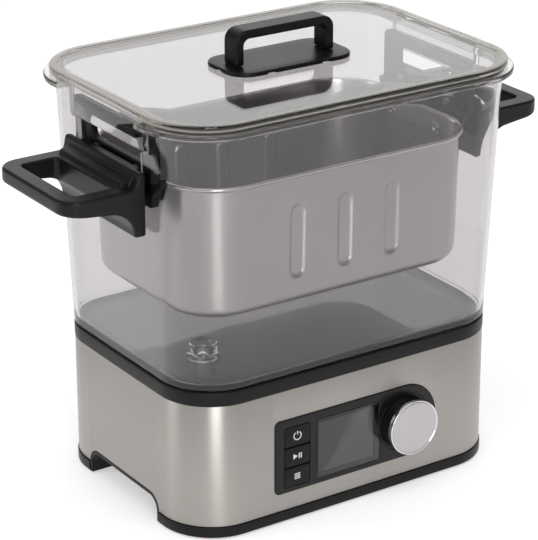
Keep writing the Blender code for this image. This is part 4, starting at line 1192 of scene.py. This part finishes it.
# ======================================================================================
# insert pan, brackets and side handles
# ======================================================================================
@dataclass
class Pan(Assembly):
    """Deep-drawn steel pan with a rolled rim, pressed grooves, rivets and level marks."""

    body: str = "pan"
    low: Outline = Outline(114.6, 74.1, 36.5, 0.0)
    high: Outline = Outline(116.3, 75.8, 38.0, 0.0)
    wall: float = 1.2
    grooves: tuple[float, float, float] = (-36.4, 2.2, 40.8)
    groove_z: tuple[float, float] = (170.4, 221.8)
    groove_half: float = 5.2
    groove_depth: float = 1.6
    groove_edge: float = 2.2
    # Height of the rim band in the lighter steel, which is partly a painted highlight.
    polished: float = 2.7

    def build(self) -> None:
        """Build the pan, its rivets and its marks."""
        box = Box.of("insert_pan")
        z0, z1, w = box.lo[2], box.hi[2], self.wall
        dense = np.arange(self.groove_z[0] - 4, self.groove_z[1] + 5, 1.5)
        share = (dense - z0) / (z1 - z0)
        outer = np.column_stack([np.zeros(len(dense)), dense, share])
        inner = np.column_stack([np.full(len(dense), -w), dense[::-1], share[::-1]])
        roll = np.radians(np.linspace(-80, 170, 12))
        curl = np.column_stack([1.35 + 1.25 * np.cos(roll), z1 - 1.25 + 1.25 * np.sin(roll),
                                np.ones(12)])
        rows = np.concatenate([
            placed(0, [(-24, z0, 0), (0, z0, 8.5), (0, z0 + 12, 0)], 8), outer,
            placed(1, [(0, z1 - 8, 0), (0, z1 - 3.4, 1), (0.9, z1 - 2.5, 0)], 3), curl,
            placed(1, [(-w * 0.6, z1 - 0.8, 0), (-w, z1 - 2, 0)], 1), inner,
            placed(0, [(-w, z0 + 12, 0), (-w, z0 + w, 7.3), (-24, z0 + w, 0)], 8)])
        loops = swept_loops(rows, [self.low, self.high], (112, 20), 20)
        shell = self.add("pan_shell", skin(self.pressed(loops)), PAN_STEEL, "drawn_steel",
                         "insert_pan").data
        height = faces_of(shell)[0][2]
        # The rim band's lighter steel is partly a painted highlight along the rim.
        second_finish(shell, RIM_STEEL_AND_HIGHLIGHT, height > z1 - self.polished)
        self.build_rivets()
        self.build_marks(z1)

    def pressed(self, loops: Array) -> Array:
        """Press the upright grooves into the front and back walls.

        A point's depth is a smooth step of its distance to the groove's centre line, and it
        moves towards the middle of the pan, on the outer and the inner skin alike.

        Args:
            loops: points of the pan's skin.

        Returns:
            The moved points.
        """
        x, y, z = np.moveaxis(loops, -1, 0)
        lo, hi = self.groove_z
        r = self.groove_half
        off = z - np.clip(z, lo + r, hi - r)
        depth = np.zeros_like(x)
        for centre in self.grooves:
            away = np.hypot(x - centre, off) - r
            share = np.clip(0.5 - away / self.groove_edge, 0, 1)
            depth = np.maximum(depth, share * share * (3 - 2 * share))
        facing = np.abs(y) > self.low.half_y - 4
        moved = loops.copy()
        moved[..., 1] -= np.sign(y) * depth * facing * self.groove_depth
        return moved

    def build_rivets(self) -> None:
        """Domed rivet heads inside the pan, and the screws that hold the handles."""
        for side in ("left", "right"):
            sign = 1 if side == "right" else -1
            for row in ("front", "rear"):
                box = Box.of(f"rivet_{side}_{row}")
                inner = box.lo[0] if sign > 0 else box.hi[0]
                rows = fillet([(0.2, 1.4, 0), (1.3, 1.4, 0.3), (2.2, 0.0, 0.5), (3.1, 0, 0.6),
                               (4.4, 1.0, 0.5), (4.4, 1.6, 0.2), (2.2, 1.6, 0.1),
                               (2.2, 8.6, 0.3), (0.2, 8.6, 0)], 4)
                shape = turned(rows * (1, sign), (inner, box.mid[1], box.mid[2]), Axis.X,
                               count=40)
                self.add(f"pan_rivet_{side}_{row}", shape, CUP_STEEL, "zinc_screw",
                         f"rivet_{side}_{row}")
                screw = Box.of(f"handle_screw_{side}_{row}")
                inner = screw.lo[0] if sign > 0 else screw.hi[0]
                rows = fillet([(0.2, 0, 0), (2.4, 0, 0.5), (3.4, 0.8, 0.4), (3.4, 2.4, 0.2),
                               (2.1, 2.4, 0.1), (2.1, 16, 0.3), (0.2, 16, 0)], 3)
                shape = turned(rows * (1, sign), (inner, screw.mid[1], screw.mid[2]), Axis.X,
                               count=32)
                self.add(f"grip_screw_{side}_{row}", shape, ZINC, "zinc_screw",
                         f"handle_screw_{side}_{row}")

    def build_marks(self, rim: float) -> None:
        """Level lines pressed into the inner face of both ends."""
        inner, low = self.low.half_x - self.wall, Box.of("insert_pan").lo[2]
        slope = (self.high.half_x - self.low.half_x) / (rim - low)
        marks = []
        for step in range(5):
            z, half = rim - 16 - 5 * step, 2.4 if step % 2 else 4.5
            x = inner + slope * (z - low)
            marks.append(prism(window(-half, half, z - 0.4, z + 0.4, 0.35, 4), Axis.X,
                               x - 0.5, x + 0.3, 0.3, 3))
        right = marks[0].plus(*marks[1:])
        self.add("level_marks_right", right, LASER_MARK, "drawn_steel")
        self.add("level_marks_left", right.mirrored(), LASER_MARK, "drawn_steel")


@dataclass
class SideHandles(Assembly):
    """Moulded inner brackets and outer loop handles, alike at both ends."""

    body: str = "pan"
    cell: float = 0.9

    def build(self) -> None:
        """Build the right-hand pieces and mirror them."""
        bracket, handle = self.bracket(), self.handle()
        for side, turn in (("right", lambda s: s), ("left", lambda s: s.mirrored())):
            self.add(f"bracket_{side}", turn(bracket), GRIP_NYLON, "black_plastic",
                     f"pan_bracket_{side}", sharp=SHARP_MOULDED)
            self.add(f"loop_handle_{side}", turn(handle), GRIP_NYLON, "black_plastic",
                     f"handle_{side}", sharp=SHARP_MOULDED)

    def bracket(self) -> Surface:
        """Pad under the rim, arm and upright with a window."""
        box = Box.of("pan_bracket_right")
        half, z0, z1 = box.half[1], box.lo[2], box.hi[2]
        arm = fillet([(-38, z0, 1), (38, z0, 1), (40.5, z0 + 9, 3), (half, z0 + 18.9, 3),
                      (half, z0 + 22.5, 1), (-half, z0 + 22.5, 1), (-half, z0 + 18.9, 3),
                      (-40.5, z0 + 9, 3)], 5, closed=True)
        shape = Moulding.prism(arm, Axis.X, 120.2, 125.3, 0.9)
        shape = shape.joined(Moulding.block((119.2, 0, z0 + 7.7), (2.4, 33, 6.7), 0.9), 1.5)
        upright = window(-half, half, z0 + 20.3, z1, 4.0)
        shape = shape.joined(Moulding.prism(upright, Axis.X, 124.1, box.hi[0], 1.1), 1.2)
        hole = window(-32, 32, z0 + 30.5, z1 - 9, 5.0)
        shape = shape.cut(Moulding.prism(hole, Axis.X, 112, 140), 1.6)
        recess = window(-41, 41, z0 + 25.5, z1 - 4.5, 7.0)
        shape = shape.cut(Moulding.prism(recess, Axis.X, 129.6, 140), 0.8)
        return shape.surface(box.lo, box.hi, 0.8)

    def handle(self) -> Surface:
        """Plate, swept underside, loop with a finger opening, ledges and neck."""
        box = Box.of("handle_right")
        half, out, z0 = box.half[1], box.hi[0], box.lo[2]
        turn = np.radians(15.0 * np.arange(1, 7))
        sweep = np.column_stack([164 - 19.6 * np.cos(turn), z0 + 1 + 18.6 * np.sin(turn)])
        top, end = 245.6, out + 0.55
        upper = fillet([(164, z0 + 19.6, 0), (178, 233.6, 8), (end, 235.2, 3.2), (end, top, 2.6),
                        (143, top, 3.4), (140.8, 255.6, 1.4), (136.2, 255.6, 1.4),
                        (136.2, z0, 1.6), (144.4, z0, 1.4), (144.6, z0 + 3, 0)], 6)
        side = np.concatenate([sweep[:-1], upper])
        shape = Moulding.prism(side, Axis.Y, -half, half, 1.4)
        plan = fillet([(120, -half, 0.1), (end, -half, 17), (end, half, 17), (120, half, 0.1)],
                      12, closed=True)
        shape = shape.common(Moulding.prism(plan, Axis.Z, 180, 280), 2.2)
        ledge = fillet([(140, 244, 0.1), (150.4, 244, 0.1), (149.6, 248.6, 1.6), (144, 250.4, 1.6),
                        (140, 250.8, 0.1)], 5, closed=True)
        shape = shape.joined(Moulding.prism(ledge, Axis.Y, -41, 41, 1.0), 1.2)
        shape = shape.cut(Moulding.prism(window(153.6, 182.2, -35.5, 35.5, 4.0), Axis.Z,
                                         180, 280), 1.8)
        neck = Moulding.block((134.8, 0, 251.7), (3.6, 38, 3.0), 2.2)
        shape = shape.joined(neck, 0.6)
        return shape.surface(box.lo, box.hi, self.cell)


# ======================================================================================
# lid
# ======================================================================================
@dataclass
class Lid(Assembly):
    """Clear lid with a raised bead, a locating lip, hanging end flaps and a strap grip."""

    body: str = "lid"
    corner: float = 47.0
    bead: float = 5.4
    pane: float = 295.6
    lip: Outline = Outline(131.7, 95.6, 36.0)
    lip_low: float = 287.4
    flap: tuple[float, float] = (46.0, 268.6)
    flap_x: tuple[float, float] = (132.2, 134.8)
    seat: float = 9.4

    def build(self) -> None:
        """Build the pane, seal, handle plate, grip and screws."""
        self.build_pane()
        self.build_seal()
        self.build_handle()

    def build_pane(self) -> None:
        """Pane with its bead; the lip and the two flaps are joined on underneath."""
        box = Box.of("lid_pane")
        z0, z1 = Box.of("lid_seal").hi[2] + 0.2, box.hi[2]
        b = self.bead
        rows = fillet([(-24, z0, 0), (0, z0, 0.8), (0, z1, 1.5), (-b, z1, 1.0),
                       (-b - 0.9, self.pane, 0.6), (-24, self.pane, 0)], 6)
        outline = Outline(box.half[0], box.half[1], self.corner, 0.0)
        obj = build_mesh("lid_shell", swept(rows, outline, False, (40, 28), 32))
        low, top = self.lip_low, self.pane - 1.2
        lip = swept(fillet([(0, low, 0.6), (0, top, 0.01), (-2, top, 0.01), (-2, low, 0.6)], 3,
                           closed=True), self.lip, True, (24, 16), 24)
        half, bottom = self.flap
        flap = prism(window(-half, half, bottom, top + 0.3, 2.0), Axis.X, *self.flap_x, 0.4, 2)
        carve(obj, [lip, flap, flap.mirrored()], True)
        (across, along, height), normal = faces_of(obj.data)
        corner = np.hypot(np.maximum(np.abs(across) - box.half[0] + self.corner, 0),
                          np.maximum(np.abs(along) - box.half[1] + self.corner, 0))
        inset = self.corner - corner
        seat = (height < z0 + 0.3) & (normal[:, 2] > 0.7) & (inset > 0.6) & (inset < self.seat)
        self.dress(obj, CLEAR_LID, "clear_plastic", "lid_pane")
        second_finish(obj.data, SEAL_SEAT, seat)

    def build_seal(self) -> None:
        """Soft seal under the rim, a lip narrower than its seat."""
        box = Box.of("lid_seal")
        z0, z1 = box.lo[2], box.hi[2]
        rows = fillet([(-1.2, z0, 0.3), (-1.0, z1, 0.2), (-2.4, z1, 0.2), (-2.2, z0, 0.3)], 3,
                      closed=True)
        self.add("lid_gasket", swept(rows, Outline(box.half[0], box.half[1], self.corner - 1.6),
                                     True, (24, 16), 24), SEAL_GREY, "black_rubber", "lid_seal")

    def build_handle(self) -> None:
        """Plate with notches under its edge, and the strap grip that stands on it."""
        plate, grip = Box.of("lid_handle_base"), Box.of("lid_grip")
        z0, z1 = plate.lo[2], plate.hi[2]
        rows = fillet([(-9, z0, 0), (0, z0, 0.4), (0, z1, 1.1), (-9, z1, 0)], 6)
        outline = Outline(plate.half[0], plate.half[1], 15.5)
        obj = build_mesh("grip_plate", swept(rows, outline, False, (20, 8), 20))
        notches = []
        for x in (-22, 22):
            for sign in (-1, 1):
                y0, y1 = sorted((sign * (plate.half[1] - 2.8), sign * (plate.half[1] + 4)))
                notches.append(prism(window(x - 3.3, x + 3.3, y0, y1, 0.5), Axis.Z,
                                     z0 - 2, z0 + 1.2))
        end = prism(window(plate.half[0] - 2.8, plate.half[0] + 4, -3.3, 3.3, 0.5), Axis.Z,
                    z0 - 2, z0 + 1.2)
        carve(obj, notches + [end, end.mirrored()])
        self.dress(obj, GRIP_NYLON, "black_plastic", "lid_handle_base")
        x, y, g0, g1 = grip.half[0], grip.half[1], grip.lo[2], grip.hi[2]
        hoop = fillet([(-x, g0, 0.4), (x, g0, 0.4), (x, g1, 8.5), (-x, g1, 8.5)], 10, closed=True)
        shape = Moulding.prism(hoop, Axis.Y, -y, y, 1.0)
        gap = fillet([(-x + 6.2, g0 - 9, 0.1), (x - 6.2, g0 - 9, 0.1), (x - 6.2, g1 - 6.2, 4.6),
                      (-x + 6.2, g1 - 6.2, 4.6)], 8, closed=True)
        shape = shape.cut(Moulding.prism(gap, Axis.Y, -y - 9, y + 9), 1.4)
        self.add("strap_grip", shape.surface(grip.lo, grip.hi, 0.7), GRIP_NYLON,
                 "black_plastic", "lid_grip", sharp=SHARP_MOULDED)
        for side in ("left", "right"):
            box = Box.of("lid_screw_" + side)
            top = box.hi[2] - box.lo[2]
            rows = fillet([(0.2, 0, 0), (3.2, 0, 0.6), (4.2, 0.9, 0.4), (4.2, 1.6, 0.2),
                           (1.9, 1.6, 0.1), (1.9, top, 0.3), (0.2, top, 0)], 4)
            self.add("pane_screw_" + side, turned(rows, (box.mid[0], 0, box.lo[2]), count=40),
                     ZINC, "zinc_screw", "lid_screw_" + side)


# ======================================================================================
# stage, lights and camera
# ======================================================================================
@dataclass
class Studio:
    """Plain pale floor, soft area lamps, an even sky and the camera."""

    target: tuple[float, float, float] = (0.84, -0.97, 137.61)
    azimuth: float = 33.97
    elevation: float = 22.33
    distance: float = 1680.05
    lens: float = 159.08
    shift: tuple[float, float] = (-0.02256, 0.00928)

    def build(self) -> None:
        """Build the stage, the lamps and the camera."""
        self.build_floor()
        self.build_sky()
        for name, azimuth, elevation, distance, width, height, power in (
                ("key_lamp", -26, 12, 2.4, 0.7, 1.1, 18),
                ("left_lamp", -112, 18, 2.4, 1.0, 1.2, 8),
                ("rear_lamp", 146, 24, 2.6, 3.4, 1.7, 19),
                ("top_lamp", -25, 76, 2.2, 2.6, 2.2, 24)):
            self.add_lamp(name, azimuth, elevation, distance, (width, height), power)
        self.build_camera()

    def build_floor(self) -> None:
        """Matt floor that runs far past the frame."""
        half = 9000.0
        sheet = Surface(np.array([(-half, -half, 0), (half, -half, 0), (half, half, 0),
                                  (-half, half, 0)], float), [(0, 1, 2, 3)])
        floor = build_mesh("studio_floor", sheet)
        material = bpy.data.materials.new("matt_floor_paint")
        material.use_nodes = True
        shader = material.node_tree.nodes["Principled BSDF"]
        shader.inputs["Base Color"].default_value = linear("#f4f4f4")
        shader.inputs["Roughness"].default_value = 0.9
        shader.inputs["Specular IOR Level"].default_value = 0.1
        shader.inputs["Emission Color"].default_value = (1.0, 1.0, 1.0, 1.0)
        shader.inputs["Emission Strength"].default_value = 0.45
        floor.data.materials.append(material)

    def build_sky(self) -> None:
        """Even white light from all round."""
        world = bpy.data.worlds.new("studio_sky")
        world.use_nodes = True
        back = world.node_tree.nodes["Background"]
        back.inputs["Color"].default_value = (1.0, 1.0, 1.0, 1.0)
        back.inputs["Strength"].default_value = 0.25
        bpy.context.scene.world = world
        bpy.context.scene.view_settings.view_transform = "Standard"

    @staticmethod
    def spot(azimuth: float, elevation: float, distance: float) -> Vector:
        """Place at an azimuth from -Y towards +X, an elevation and a distance."""
        a, e = math.radians(azimuth), math.radians(elevation)
        return Vector((math.sin(a) * math.cos(e), -math.cos(a) * math.cos(e),
                       math.sin(e))) * distance

    def add_lamp(self, name: str, azimuth: float, elevation: float, distance: float,
                 size: tuple[float, float], power: float) -> None:
        """Add one rectangular lamp that faces the middle of the object."""
        lamp = bpy.data.lights.new(name, "AREA")
        lamp.shape = "RECTANGLE"
        lamp.size, lamp.size_y = size
        lamp.energy = power
        obj = bpy.data.objects.new(name, lamp)
        centre = Vector(self.target) * MM
        place = self.spot(azimuth, elevation, distance)
        obj.location = centre + place
        obj.rotation_euler = place.to_track_quat("Z", "Y").to_euler()
        bpy.context.scene.collection.objects.link(obj)

    def build_camera(self) -> None:
        """Camera at the fitted viewing angle, with the frame's small shift."""
        data = bpy.data.cameras.new("view")
        data.sensor_width = 36.0
        data.lens = self.lens
        data.shift_x, data.shift_y = self.shift
        data.clip_start, data.clip_end = 0.05, 60.0
        obj = bpy.data.objects.new("view", data)
        place = self.spot(-self.azimuth, self.elevation, self.distance * MM)
        obj.location = Vector(self.target) * MM + place
        obj.rotation_euler = place.to_track_quat("Z", "Y").to_euler()
        bpy.context.scene.collection.objects.link(obj)
        bpy.context.scene.camera = obj


def main() -> None:
    """Build the studio and the cooker."""
    logging.basicConfig(level=logging.INFO, format="%(message)s")
    Studio().build()
    for assembly in (BaseShell(), ControlPanel(), Tank(), Pan(), SideHandles(), Lid()):
        assembly.build()
        assembly.report()


if __name__ == "__main__":
    main()
